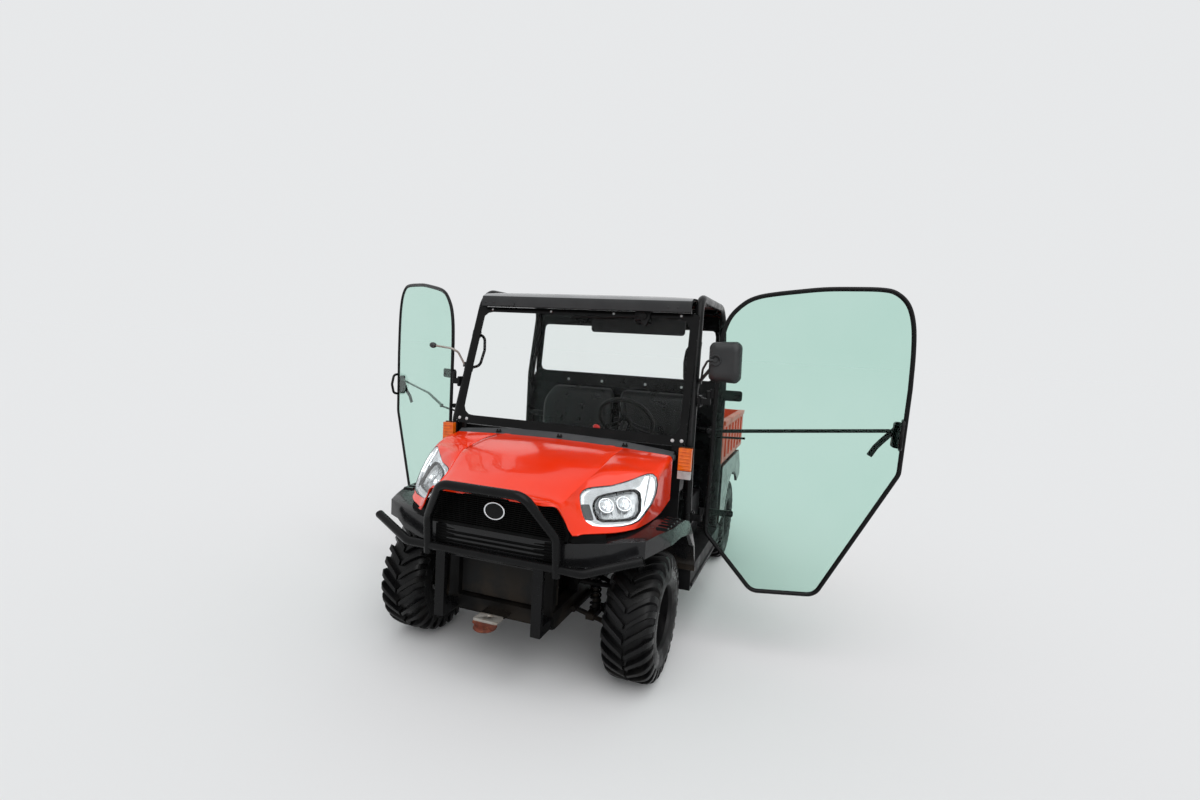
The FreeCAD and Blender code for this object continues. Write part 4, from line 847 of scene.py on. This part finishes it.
# Cab frame, roof and glass
cage = Piece()
cage.tube([P(730, 439, 428), P(730, 350, 1130), P(688, 575, 1930), P(688, 1375, 1930), P(730, 1345, 1400),
           P(730, 1345, 428)], 25, 130, 24)
cage.tube([P(705, 498, 1668), P(648, 510, 1648), P(640, 500, 1565), P(652, 470, 1468), P(710, 442, 1446)], 9, 40, 12)
for x, y, z in ((701, 500, 1664), (713, 441, 1450)):
    cage.cyl(P(x, y - 5, z - 18), P(x, y + 6, z + 18), 27.5, 24)
for y in (439, 1345):
    cage.block((694, 762), (y - 34, y + 34), (425.3, 437.3))
    for dx, dy in ((-26, -26), (26, -26), (-26, 26), (26, 26)):
        cage.bolt(P(728 + dx, y + dy, 437), Z, 6, 5)
for z in (742, 1383):
    cage.cyl(P(800, 418, z - 36.3), P(800, 418, z - 0.3), 12, 24)
    cage.prism("XY", (z - 36.3, z - 0.3), [(735, 404), (800, 407), (800, 429), (735, 436)])
    cage.block((748, 760), (392, 446), (z - 50, z + 12))
    for y, dz in ((400, -40), (438, -40), (400, 2), (438, 2)):
        cage.bolt(P(760, y, z + dz), X, 6, 5)
cage.mirror()
for half, y, z in ((688, 635, 1892), (688, 1315, 1892), (730, 1345, 1100)):
    cage.tube([P(-half, y, z), P(half, y, z)], 21, 0, 20)
cage.done("roll_cage_tubes", STEEL, "chassis", "rops_frame", bevel=1.0, angle=44)

# The roof's section, as (y, z): its front lip, top and underside
ROOF_HALF = 660
LIP = [(479, 1842), (479.5, 1862), (481, 1884), (486, 1901)]
TOP = [(489, 1904), (520, 1919), (552, 1930), (620, 1933), (700, 1933.5), (900, 1934), (1100, 1934), (1300, 1932),
       (1400, 1928), (1420, 1922), (1425, 1914)]
UNDER = [(1400, 1914), (1200, 1915), (900, 1915), (600, 1915), (560, 1913), (530, 1902), (503, 1888), (495, 1860),
         (493, 1842)]


def roof_section(x, outline):
    """The outline at a distance from the middle, drooping toward the sides."""
    droop = 6 * (abs(x) / ROOF_HALF) ** 6
    return [P(x, y, z - (droop if y > 540 and z > 1916 else 0)) for y, z in outline]


roof = Piece()
# The top takes the painted light grey of the sky's reflection; the lip and underside keep the dark roof plastic.
for roof.m, outline in ((1, LIP + TOP[:1]), (0, TOP), (1, TOP[-1:] + UNDER + LIP[:1])):
    roof.rings([roof_section(-ROOF_HALF + 2 * ROOF_HALF * i / 24, outline) for i in range(25)], closed_ring=False)
for x in (-ROOF_HALF, ROOF_HALF):
    roof.cap(roof_section(x, LIP + TOP + UNDER))
roof.merge(1e-5)
for x in (-633, -579, 530, 584):
    roof.bolt(P(x, 480, 1866), (0, -1, 0), 6, 3.5, False)
roof.prism("XZ", (473, 480), [(-530, 1846), (-430, 1846), (-436, 1864), (-462, 1872), (-498, 1872), (-524, 1864)], 8)
roof.done("roof_cover", [ROOF_TOP_PAINTED_REFLECTION, VISOR], "chassis", "roof_panel", bevel=2.5, segments=3)

header = Piece()
header.block((638, 724), (320, 327), (1072, 1126))
header.mirror()
header.prism("XZ", (1372, 1377), [(-692, 1778), (692, 1778), (678, 1916), (-678, 1916)], 12)
for x in (-560, -200, 200, 560):
    header.bolt(P(x, 1372, 1850), (0, -1, 0), 6, 4, False)
header.block((-655, 655), (500, 530), (1839.5, 1866))
header.done("cab_headers", BORDER, "chassis", bevel=1.5)

SCREEN_SLOPE, REAR_SLOPE = 225 / 800, 30 / 530
SCREEN_OUT = (0, -0.96, 0.27)


def screen_spot(x, z, forward=0.0):
    """A point on the windscreen's back face, or in front of it."""
    return P(x, 350 - 25.3 / math.cos(math.atan(SCREEN_SLOPE)) + (z - 1130) * SCREEN_SLOPE - forward, z)


def rear_spot(x, z, rear=0.0):
    """A point on the rear window's front face, or behind it."""
    return P(x, 1370.4 + (z - 1400) * REAR_SLOPE + rear, z)


def pane(name, node, spot, outline, bend):
    glass = Piece()
    glass.rings([bent([spot(x, z, off) for x, z in outline], bend, True) for off in (0.3, 5.3)])
    glass.done(name, GLASS, "chassis", node, bevel=0.8)


def band(piece, spot, outlines, bends, count, shifts):
    """A black border between a pane's outer and inner outline, as thick as each pair of shifts along y."""
    outer, inner = (even(bent([spot(x, z) for x, z in outline], bend, True, 10), count, spot(*outline[0]))
                    for outline, bend in zip(outlines, bends))
    for shift in shifts:
        near, far = (Vector((0, y / 1000, 0)) for y in shift)
        corners = (outer, near), (outer, far), (inner, far), (inner, near)
        piece.rings([[p + off for p in line] for line, off in corners], closed_line=True)


screen = [(-712, 1122), (712, 1122), (704, 1838), (-704, 1838)]
pane("windscreen_glass", "windscreen", screen_spot, screen, 22)
border = Piece()
band(border, screen_spot, (screen, [(-672, 1172), (672, 1172), (655, 1806), (-655, 1806)]), (22, 60), 120,
     ((-5.6, -6.0),))
border.m = 1
for x, z, radius, height in ((-690, 1150, 7, 5), (-640, 1148, 7, 5), (640, 1148, 7, 5), (690, 1150, 7, 5),
                             (-600, 1822, 5, 3), (-200, 1822, 5, 3), (200, 1822, 5, 3), (600, 1822, 5, 3)):
    border.bolt(screen_spot(x, z, 6), SCREEN_OUT, radius, height, False)
# The wiper's cover, its pivot, arm and blade
border.m = 2
cover = [(349, 1839), (425, 1839), (421, 1808), (409, 1768), (398, 1754), (388, 1768), (360, 1808)]
border.rings([bent([screen_spot(x, z, off) for x, z in cover], 10, True) for off in (6, 20)])
border.cyl(screen_spot(390, 1812, 18), screen_spot(390, 1812, 30), 20, 24, 16)
border.tube([screen_spot(380, 1815, 14), screen_spot(150, 1800, 13), screen_spot(-20, 1794, 12)], 5, 20, 8)
border.tube([screen_spot(-60, 1791, 11), screen_spot(330, 1806, 11)], 4, 0, 8)
border.done("windscreen_border", [BORDER, CAP, RUBBER], "chassis", angle=40)

shade = Piece()
shade.prism("XZ", (556, 568), [(49, 1713), (617, 1713), (617, 1815), (49, 1815)], 20)
shade.cyl(P(60, 562, 1820), P(610, 562, 1820), 8)
shade.m = 1
shade.prism("YZ", (330, 415), [(498, 1790), (560, 1770), (600, 1800), (600, 1880), (520, 1880)], 14)
shade.done("sun_visor", [DARK, DARK], "chassis", bevel=3)

window = [(-704, 1402), (704, 1402), (704, 1836), (-704, 1836)]
pane("rear_window_glass", "rear_window", rear_spot, window, 20)
seal = Piece()
band(seal, rear_spot, (window, [(-664, 1432), (664, 1432), (650, 1786), (-650, 1786)]), (20, 40), 110,
     ((-0.3, 0.1), (5.6, 6.0)))
seal.block((-706, 706), (1362, 1369.5), (1340, 1412))
seal.m = 1
for x in (-423, -157, 175, 440):
    seal.bolt(P(x, 1362, 1376), (0, -1, 0), 7, 5, False)
seal.done("rear_window_border", [BORDER, CAP], "chassis", angle=40)

# Doors, drawn closed as (back from the hinge, up), and then swung open
HINGE_X, HINGE_Y = 800, 418
DOOR_FOOT = [(40, 1600), (33, 650), (298, 354), (628, 374), (985, 1060), (1000, 1500)]
DOOR_TOP = [(1000, 1500), (998, 1680), (986, 1820), (954, 1918), (897, 1974), (828, 1992), (683, 1991), (543, 1984),
            (404, 1966), (300, 1950), (227, 1934), (170, 1909), (121, 1868), (86, 1824), (63, 1770), (48, 1700),
            (40, 1600)]
for side, sign, swing in (("left", 1, 81), ("right", -1, 58)):
    hinge = P(sign * HINGE_X, HINGE_Y, 0)
    turn = Matrix.Rotation(math.radians(-sign * swing), 4, "Z")
    turn = Matrix.Translation(hinge) @ turn @ Matrix.Translation(-hinge)
    body = "door_" + side

    def door(x, s, z):
        """A point on the closed door: out from its plane, back from its hinge, and up."""
        return P(sign * (HINGE_X + x), HINGE_Y + s, z)

    def line(*points):
        return [door(*p) for p in points]

    outline = bent([door(0, s, z) for s, z in DOOR_FOOT], 75)[1:-1] + [door(0, s, z) for s, z in flowing(DOOR_TOP, 5)]
    metal = Piece()
    metal.tube(outline, 10.5, 0, 14, closed=True)
    metal.tube(line((-13, 16, 1174), (-13, 208, 1180)), 6, 0, 12)
    metal.cyl(door(-24, 16, 1204), door(-6, 16, 1204), 14, 20)
    for z, high, reach in ((742, 40, 174), (1383, 62, 176)):
        metal.cyl(door(0, 0, z), door(0, 0, z + 40), 12, 24)
        foot = z - (high - 40) / 2
        head, tip = foot + high - 2, reach - high / 2
        plate = [(0, z), (30, z), (48, foot + 4), (tip, foot + 4), (reach, foot + 4), (reach, head), (tip, head),
                 (0, foot + high)]
        metal.rings([bent([door(x, s, up) for s, up in plate], 16, True) for x in (-11.5, -4)])
        for s in (62, reach - 24):
            metal.bolt(door(-11.5, s, z + 20), (-sign, 0, 0), 9, 6)
            metal.bolt(door(-4, s, z + 20), (sign, 0, 0), 9, 5, False)
    latch = (936, 1196), (984, 1190), (986, 1328), (944, 1330)
    metal.rings([bent([door(x, s, z) for s, z in latch], 16, True) for x in (-34, -8)])
    metal.tube(line((-22, 985, 1300), (-28, 950, 1284), (-28, 894, 1222), (-44, 870, 1186), (-52, 846, 1138)),
               8, 30, 16, squash=1.9)
    metal.tube(line((8, 978, 1338), (46, 970, 1332), (62, 962, 1262), (46, 966, 1196), (8, 974, 1190)), 9, 34, 12)
    if sign > 0:
        metal.tube(line((-13, 14, 1204), (-13, 925, 1280)), 10, 0, 14)
    metal.m = 1
    if sign < 0:
        metal.tube(line((-13, 925, 1298), (-13, 430, 1246), (-13, 205, 1186)), 11, 120, 14, squash=0.5)
        metal.cyl(door(-22, 210, 1184), door(-4, 210, 1184), 12, 20)
    metal.bm.transform(turn)
    metal.done("door_tubes_" + side, [STEEL, STRIP], body, "door_frame_" + side, bevel=1.2, angle=42)

    inset = []
    for before, here, after in zip(outline[-1:] + outline, outline, outline[1:] + outline[:1]):
        way = (after - before).normalized()
        inward = Vector((0, -way.z, way.y))
        if inward.dot(door(0, 520, 1200) - here) < 0:
            inward = -inward
        inset.append(here + inward * 0.009)
    glass = Piece()
    glass.rings([[p + Vector((sign * x / 1000, 0, 0)) for p in inset] for x in (-2.5, 2.5)])
    glass.bm.transform(turn)
    glass.done("door_pane_" + side, GREEN, body, "door_glass_" + side, angle=40)
    rubber = Piece()
    rubber.tube(inset, 4.5, 0, 8, closed=True)
    rubber.bm.transform(turn)
    rubber.done("door_seal_" + side, RUBBER, body, angle=60)

# Inside the cab
HELM, LEAN = P(255, 695, 1190), Vector((0, 95, 77)).normalized()
helm_up = LEAN.cross(X)
helm = Piece()
helm.tube(circle(HELM, X, helm_up, 168, 56), 14, 0, 14, closed=True)
for degrees in (-90, 30, 150):
    a = math.radians(degrees)
    out, across = X * math.cos(a) + helm_up * math.sin(a), helm_up * math.cos(a) - X * math.sin(a)
    for shift in (-1, 1):
        helm.tube([HELM + (out * reach + across * (aside * shift) - LEAN * sink) / 1000
                   for reach, aside, sink in ((30, 12, 12), (100, 17, 14), (165, 22, 0))], 6, 40, 10)
helm.turned([(-27, 2), (-27, 30), (-20, 40), (0, 42), (5, 38), (7, 20), (7, 2)], HELM, LEAN, 40)
helm.done("steering_wheel_rim", RUBBER, "steering_wheel", "steering_wheel", bevel=0.8, angle=45)
column = Piece()
column.cyl(HELM - LEAN * 0.0275, HELM - LEAN * 0.2112, 21.5, 28, 21.8)
column.cyl(HELM - LEAN * 0.12, HELM - LEAN * 0.2110, 21.7, 28, 21.9)
column.done("steering_column_cover", DARK, "chassis", "steering_column", bevel=1.5)


def dash_details(piece):
    """The instrument hood, the gear lever with its knob, and the shelf's vents."""
    piece.prism("YZ", (150, 360), [(470, 1085), (520, 1068), (516, 1092), (486, 1108), (440, 1109)], 8)
    piece.m = 2
    knob = [(-12, 1), (-12, 12), (-4, 20), (5, 23), (13, 19), (19, 8), (19, 1)]
    piece.turned(knob, P(122, 541, 1143), (0.05, 0.6, 0.8), 28)
    piece.m = 1
    piece.cyl(P(118, 500, 1092), P(121, 535, 1132), 6, 16)
    for x in (-560, -250, 120, 430):
        piece.prism("XZ", (558, 562), [(x - 45, 985), (x + 45, 985), (x + 45, 1012), (x - 45, 1012)], 8)


dress("dashboard", [DARK, BORDER, KNOB], 6, 3, extra=dash_details)


def pad(name, node, spot, nu, nv):
    """A padded form of two sheets over one grid, where u and v run from -1 to 1, that meet at its edge."""
    piece = Piece()
    for front in (True, False):
        rows = [[piece.bm.verts.new(spot(2 * i / nu - 1, 2 * j / nv - 1, front)) for i in range(nu + 1)]
                for j in range(nv + 1)]
        for a, b in zip(rows, rows[1:]):
            for i in range(nu):
                piece.face([a[i], a[i + 1], b[i + 1], b[i]])
    piece.merge(1e-4)
    obj = piece.done(name, VINYL, "chassis", node, angle=80)


def grooves(x, middle, offsets, width):
    """How far a point lies in upright sewn channels, from nought to one."""
    return sum(math.exp(-((x - middle - off) / width) ** 2) for off in offsets)


def seat_pad(name, x0, x1):
    """A crowned cushion with sewn channels, whose sides pull in between its corners."""
    middle, half = (x0 + x1) / 2, (x1 - x0) / 2
    y_middle, y_half, foot, top = 1045, 143, 691, 829
    waist = foot + (top - foot) * 0.42

    def spot(u, v, upper):
        edge = max(0.0, 1 - abs(u) ** 7) ** 0.42 * max(0.0, 1 - abs(v) ** 7) ** 0.42
        pull = 1 - 0.02 * (1 - abs(u) ** 3) * abs(v) ** 8 - 0.02 * (1 - abs(v) ** 3) * abs(u) ** 8
        x, y = middle + u * half * pull, y_middle + v * y_half * pull
        if not upper:
            return P(x, y, waist - (waist - foot) * edge ** 0.4)
        sewn = grooves(x, middle, (-120, -40, 40, 120), 5) * 9 if abs(v) < 0.86 else 0
        sewn += math.exp(-((abs(v) - 0.86) / 0.02) ** 2) * 5 if abs(u) < 0.93 else 0
        crown = 0.93 + 0.07 * math.cos(u * 1.4) * math.cos(v * 1.4)
        return P(x, y, waist + (top - waist) * edge * crown - sewn * edge)

    pad(name, "seat_cushion", spot, 40, 30)


def back_pad(name, x0, x1, outside):
    """A seat back that leans, with its outer top corner rounded, upright channels and piping."""
    middle, half = (x0 + x1) / 2, (x1 - x0) / 2
    foot, high = 700, 636

    def spot(u, v, front):
        rise = (v + 1) / 2
        z, width = foot + high * rise, half
        if u * outside > 0 and rise > 0.76:
            width -= 100 * ((rise - 0.76) / 0.24) ** 1.7
        elif u * outside <= 0 and rise > 0.9:
            width -= 30 * ((rise - 0.9) / 0.1) ** 2.4
        x = middle + u * width * (1 - 0.012 * math.sin(rise * math.pi))
        edge = max(0.0, 1 - abs(u) ** 8) ** 0.4 * max(0.0, 1 - abs(v) ** 14) ** 0.4
        y = 1236 + (z - foot) * 36 / 640
        if not front:
            return P(x, y + 24 * edge ** 0.5, z)
        sewn = grooves(x, middle, (-150, -75, 75, 150), 6) * 7 if 0.2 < rise < 0.8 else 0
        return P(x, y - (33 + 10 * abs(u) ** 3 - sewn) * edge, z)

    pad(name, "seat_backs", spot, 36, 34)
    seam = Piece()
    rising = [(0.9, -0.8 + 1.6 * k / 24) for k in range(25)]
    path = rising + [(0.9 - 1.8 * k / 24, 0.86) for k in range(25)] + [(-u, v) for u, v in reversed(rising)]
    seam.tube([spot(u, v, True) + Vector((0, 0.0008, 0)) for u, v in path], 3.2, 0, 8)
    seam.done(name + "_piping", PIPING, "chassis", angle=70)


seat_pad("seat_pad_0", -573, -4)
seat_pad("seat_pad_1", 4, 573)
back_pad("seat_back_left", 24, 573, 1)
back_pad("seat_back_right", -573, -24, -1)

# Mirrors, indicators and lamps
MIRROR = [(804, 1480), (950, 1474), (972, 1500), (968, 1670), (945, 1692), (815, 1684), (800, 1660)]


def mirror_ring(y, wide, high, bend):
    """The mirror's outline at a y, shrunk about its middle."""
    return bent([P(888 + (x - 888) * wide, y, 1584 + (z - 1584) * high) for x, z in MIRROR], bend, True, 10)


glassy = Piece()
glassy.block((737, 752), (434, 456), (1455, 1485))
glassy.mirror()
glassy.rings([mirror_ring(y, share, share, 30) for y, share in (
    (372, 0.93), (366, 0.985), (356, 1.0), (340, 0.99), (322, 0.93), (308, 0.8), (301, 0.55))])
glassy.tube([P(743, 440, 1470), P(775, 378, 1500), P(835, 350, 1575)], 9, 30, 12)
glassy.cyl(P(845, 296, 1577), P(845, 310, 1577), 18, 24, 22)
glassy.turned([(0, 14), (6, 24), (8, 24), (8, 28), (3, 31), (0, 31)], P(842, 302, 1590), (0, -1, 0), 32)
glassy.cyl(P(842, 312, 1590), P(842, 290, 1590), 14, 24, 11)
glassy.tube([P(842, 300, 1590), P(806, 286, 1588), P(775, 330, 1540), P(758, 400, 1490)], 6, 30, 12)
glassy.turned([(-20, 1), (-20, 9), (-12, 16), (0, 18.5), (12, 16), (20, 9), (20, 1)], P(-915, 345, 1579),
              (-0.9, -0.2, 0.1), 24)
glassy.m = 1
glassy.rings([mirror_ring(y, 0.86, 0.88, 26) for y in (372.6, 373.6)])
glassy.m = 2
glassy.tube([P(-745, 440, 1470), P(-768, 400, 1545), P(-800, 378, 1566), P(-912, 346, 1579)], 6.5, 40, 12)
glassy.done("mirror_shells", [VISOR, CHROME, BARE], "chassis", "mirrors", bevel=1.2, angle=40)

signal = Piece()
signal.block((692, 762), (257, 296), (1004, 1122))
for i in range(6):
    signal.block((698, 756), (254.5, 258), (1012 + i * 18, 1018 + i * 18))
signal.m = 1
signal.block((692, 762), (257, 296), (959, 1001))
signal.m = 2
signal.block((686, 766), (288, 301), (955, 1126))
signal.block((724, 736), (298, 329), (1045, 1095))
signal.mirror()
signal.done("indicator_lenses", [AMBER, CLEAR, DARK], "chassis", "indicators", bevel=2.5, segments=3)
tail = Piece()
tail.block((642, 733), (2442, 2460), (612, 678))
tail.m = 1
tail.block((640, 735), (2440.3, 2450), (610, 680))
tail.mirror()
tail.done("tail_lamp_lenses", [RED, DARK], "chassis", "tail_lamps", bevel=2.5, segments=3)


# Bed
def bed_details(piece):
    """Rails along the sides and ribs on the floor."""
    piece.m = 1
    piece.block((713, 756), (1452, 2504), (1128, 1154.5))
    piece.mirror()
    piece.m = 0
    for i in range(9):
        y = 1530 + i * 110
        piece.block((-700, 700), (y, y + 26), (871, 875))


def gate_details(piece):
    """The pressed field and the handle."""
    piece.prism("XZ", (2535, 2541), [(-640, 900), (640, 900), (640, 1100), (-640, 1100)], 30)
    piece.m = 1
    piece.prism("XZ", (2536, 2546), [(-70, 1060), (70, 1060), (70, 1100), (-70, 1100)], 12)


dress("cargo_bed", [ORANGE_BED, GREY], 4, 3, extra=bed_details)
dress("tailgate", [ORANGE_BED, DARK], 3, 3, extra=gate_details)

# Floor, light and camera. Floor and sky are lit plainly, and look pale to the eye and in what mirrors them.
PALE, SKY, FLOOR = (0.80, 0.81, 0.82), (0.54, 0.55, 0.56), (0.36, 0.365, 0.37)
# Each sun: name, where it stands, strength, and width in degrees
SUNS = [("top", (0.25, -0.45, 1.0), 1.25, 60), ("front", (0.9, -1.2, 0.7), 0.55, 40)]


def fresh_tree(owner, output):
    owner.use_nodes = True
    tree = owner.node_tree
    tree.nodes.clear()
    return tree, tree.nodes.new(output)


def seen_by_eye(tree):
    """One for rays from the camera, off a mirror or through glass."""
    path = tree.nodes.new("ShaderNodeLightPath")
    last = path.outputs["Is Camera Ray"]
    for kind in ("Is Glossy Ray", "Is Transmission Ray"):
        most = tree.nodes.new("ShaderNodeMath")
        most.operation = "MAXIMUM"
        tree.links.new(last, most.inputs[0])
        tree.links.new(path.outputs[kind], most.inputs[1])
        last = most.outputs["Value"]
    return last


sun_level = sum(power * toward[2] / Vector(toward).length / math.pi for name, toward, power, width in SUNS)
floor_mat = bpy.data.materials.new("pale_floor")
tree, out = fresh_tree(floor_mat, "ShaderNodeOutputMaterial")
diffuse = tree.nodes.new("ShaderNodeBsdfDiffuse")
tone = tree.nodes.new("ShaderNodeMix")
tone.data_type = "RGBA"
tone.inputs["A"].default_value = (*FLOOR, 1)
tone.inputs["B"].default_value = (*(seen / (lit + sun_level) for seen, lit in zip(PALE, SKY)), 1)
tree.links.new(seen_by_eye(tree), tone.inputs["Factor"])
tree.links.new(tone.outputs["Result"], diffuse.inputs["Color"])
tree.links.new(diffuse.outputs["BSDF"], out.inputs["Surface"])
bpy.ops.mesh.primitive_plane_add(size=400, location=(0, 0, 0))
floor_obj = bpy.context.object
floor_obj.name = "floor"
floor_obj.data.materials.append(floor_mat)
floor_obj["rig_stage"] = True

world = bpy.data.worlds.new("studio")
bpy.context.scene.world = world
tree, out = fresh_tree(world, "ShaderNodeOutputWorld")
mix = tree.nodes.new("ShaderNodeMixShader")
tree.links.new(seen_by_eye(tree), mix.inputs["Fac"])
for slot, color in ((1, SKY), (2, PALE)):
    back = tree.nodes.new("ShaderNodeBackground")
    back.inputs["Color"].default_value = (*color, 1)
    tree.links.new(back.outputs["Background"], mix.inputs[slot])
tree.links.new(mix.outputs["Shader"], out.inputs["Surface"])

for name, toward, power, width in SUNS:
    light = bpy.data.lights.new(name, "SUN")
    light.energy, light.angle = power, math.radians(width)
    in_scene(name, light).rotation_euler = (-Vector(toward)).to_track_quat("-Z", "Y").to_euler()

# The camera as fitted to the photo: metres, degrees, and the focal length in the photo's pixels
CAMERA_AT, CAMERA_TURN = (1.365, -3.841, 1.620), (20.01, -4.91, 3.24)
FOCAL_PX, PHOTO_WIDTH, SENSOR = 605.3, 1200, 36
yaw, pitch, roll = (math.radians(degrees) for degrees in CAMERA_TURN)
ahead = Vector((-math.sin(yaw) * math.cos(pitch), math.cos(yaw) * math.cos(pitch), math.sin(pitch)))
right = Vector((math.cos(yaw), math.sin(yaw), 0))
above = right.cross(ahead)
right, above = right * math.cos(roll) + above * math.sin(roll), above * math.cos(roll) - right * math.sin(roll)
camera = in_scene("camera", bpy.data.cameras.new("camera"))
camera.data.sensor_width = SENSOR
camera.data.sensor_fit = "HORIZONTAL"
camera.data.lens = FOCAL_PX / PHOTO_WIDTH * SENSOR
camera.data.clip_start = 0.05
camera.matrix_world = Matrix.Translation(CAMERA_AT) @ Matrix((right, above, -ahead)).transposed().to_4x4()
bpy.context.scene.camera = camera
bpy.context.scene.view_settings.view_transform = "Standard"

new_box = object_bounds()
plain = lambda box: [[float(v) for v in corner] for corner in box]
{"cad": plain(cad_box), "visual": plain(new_box)}
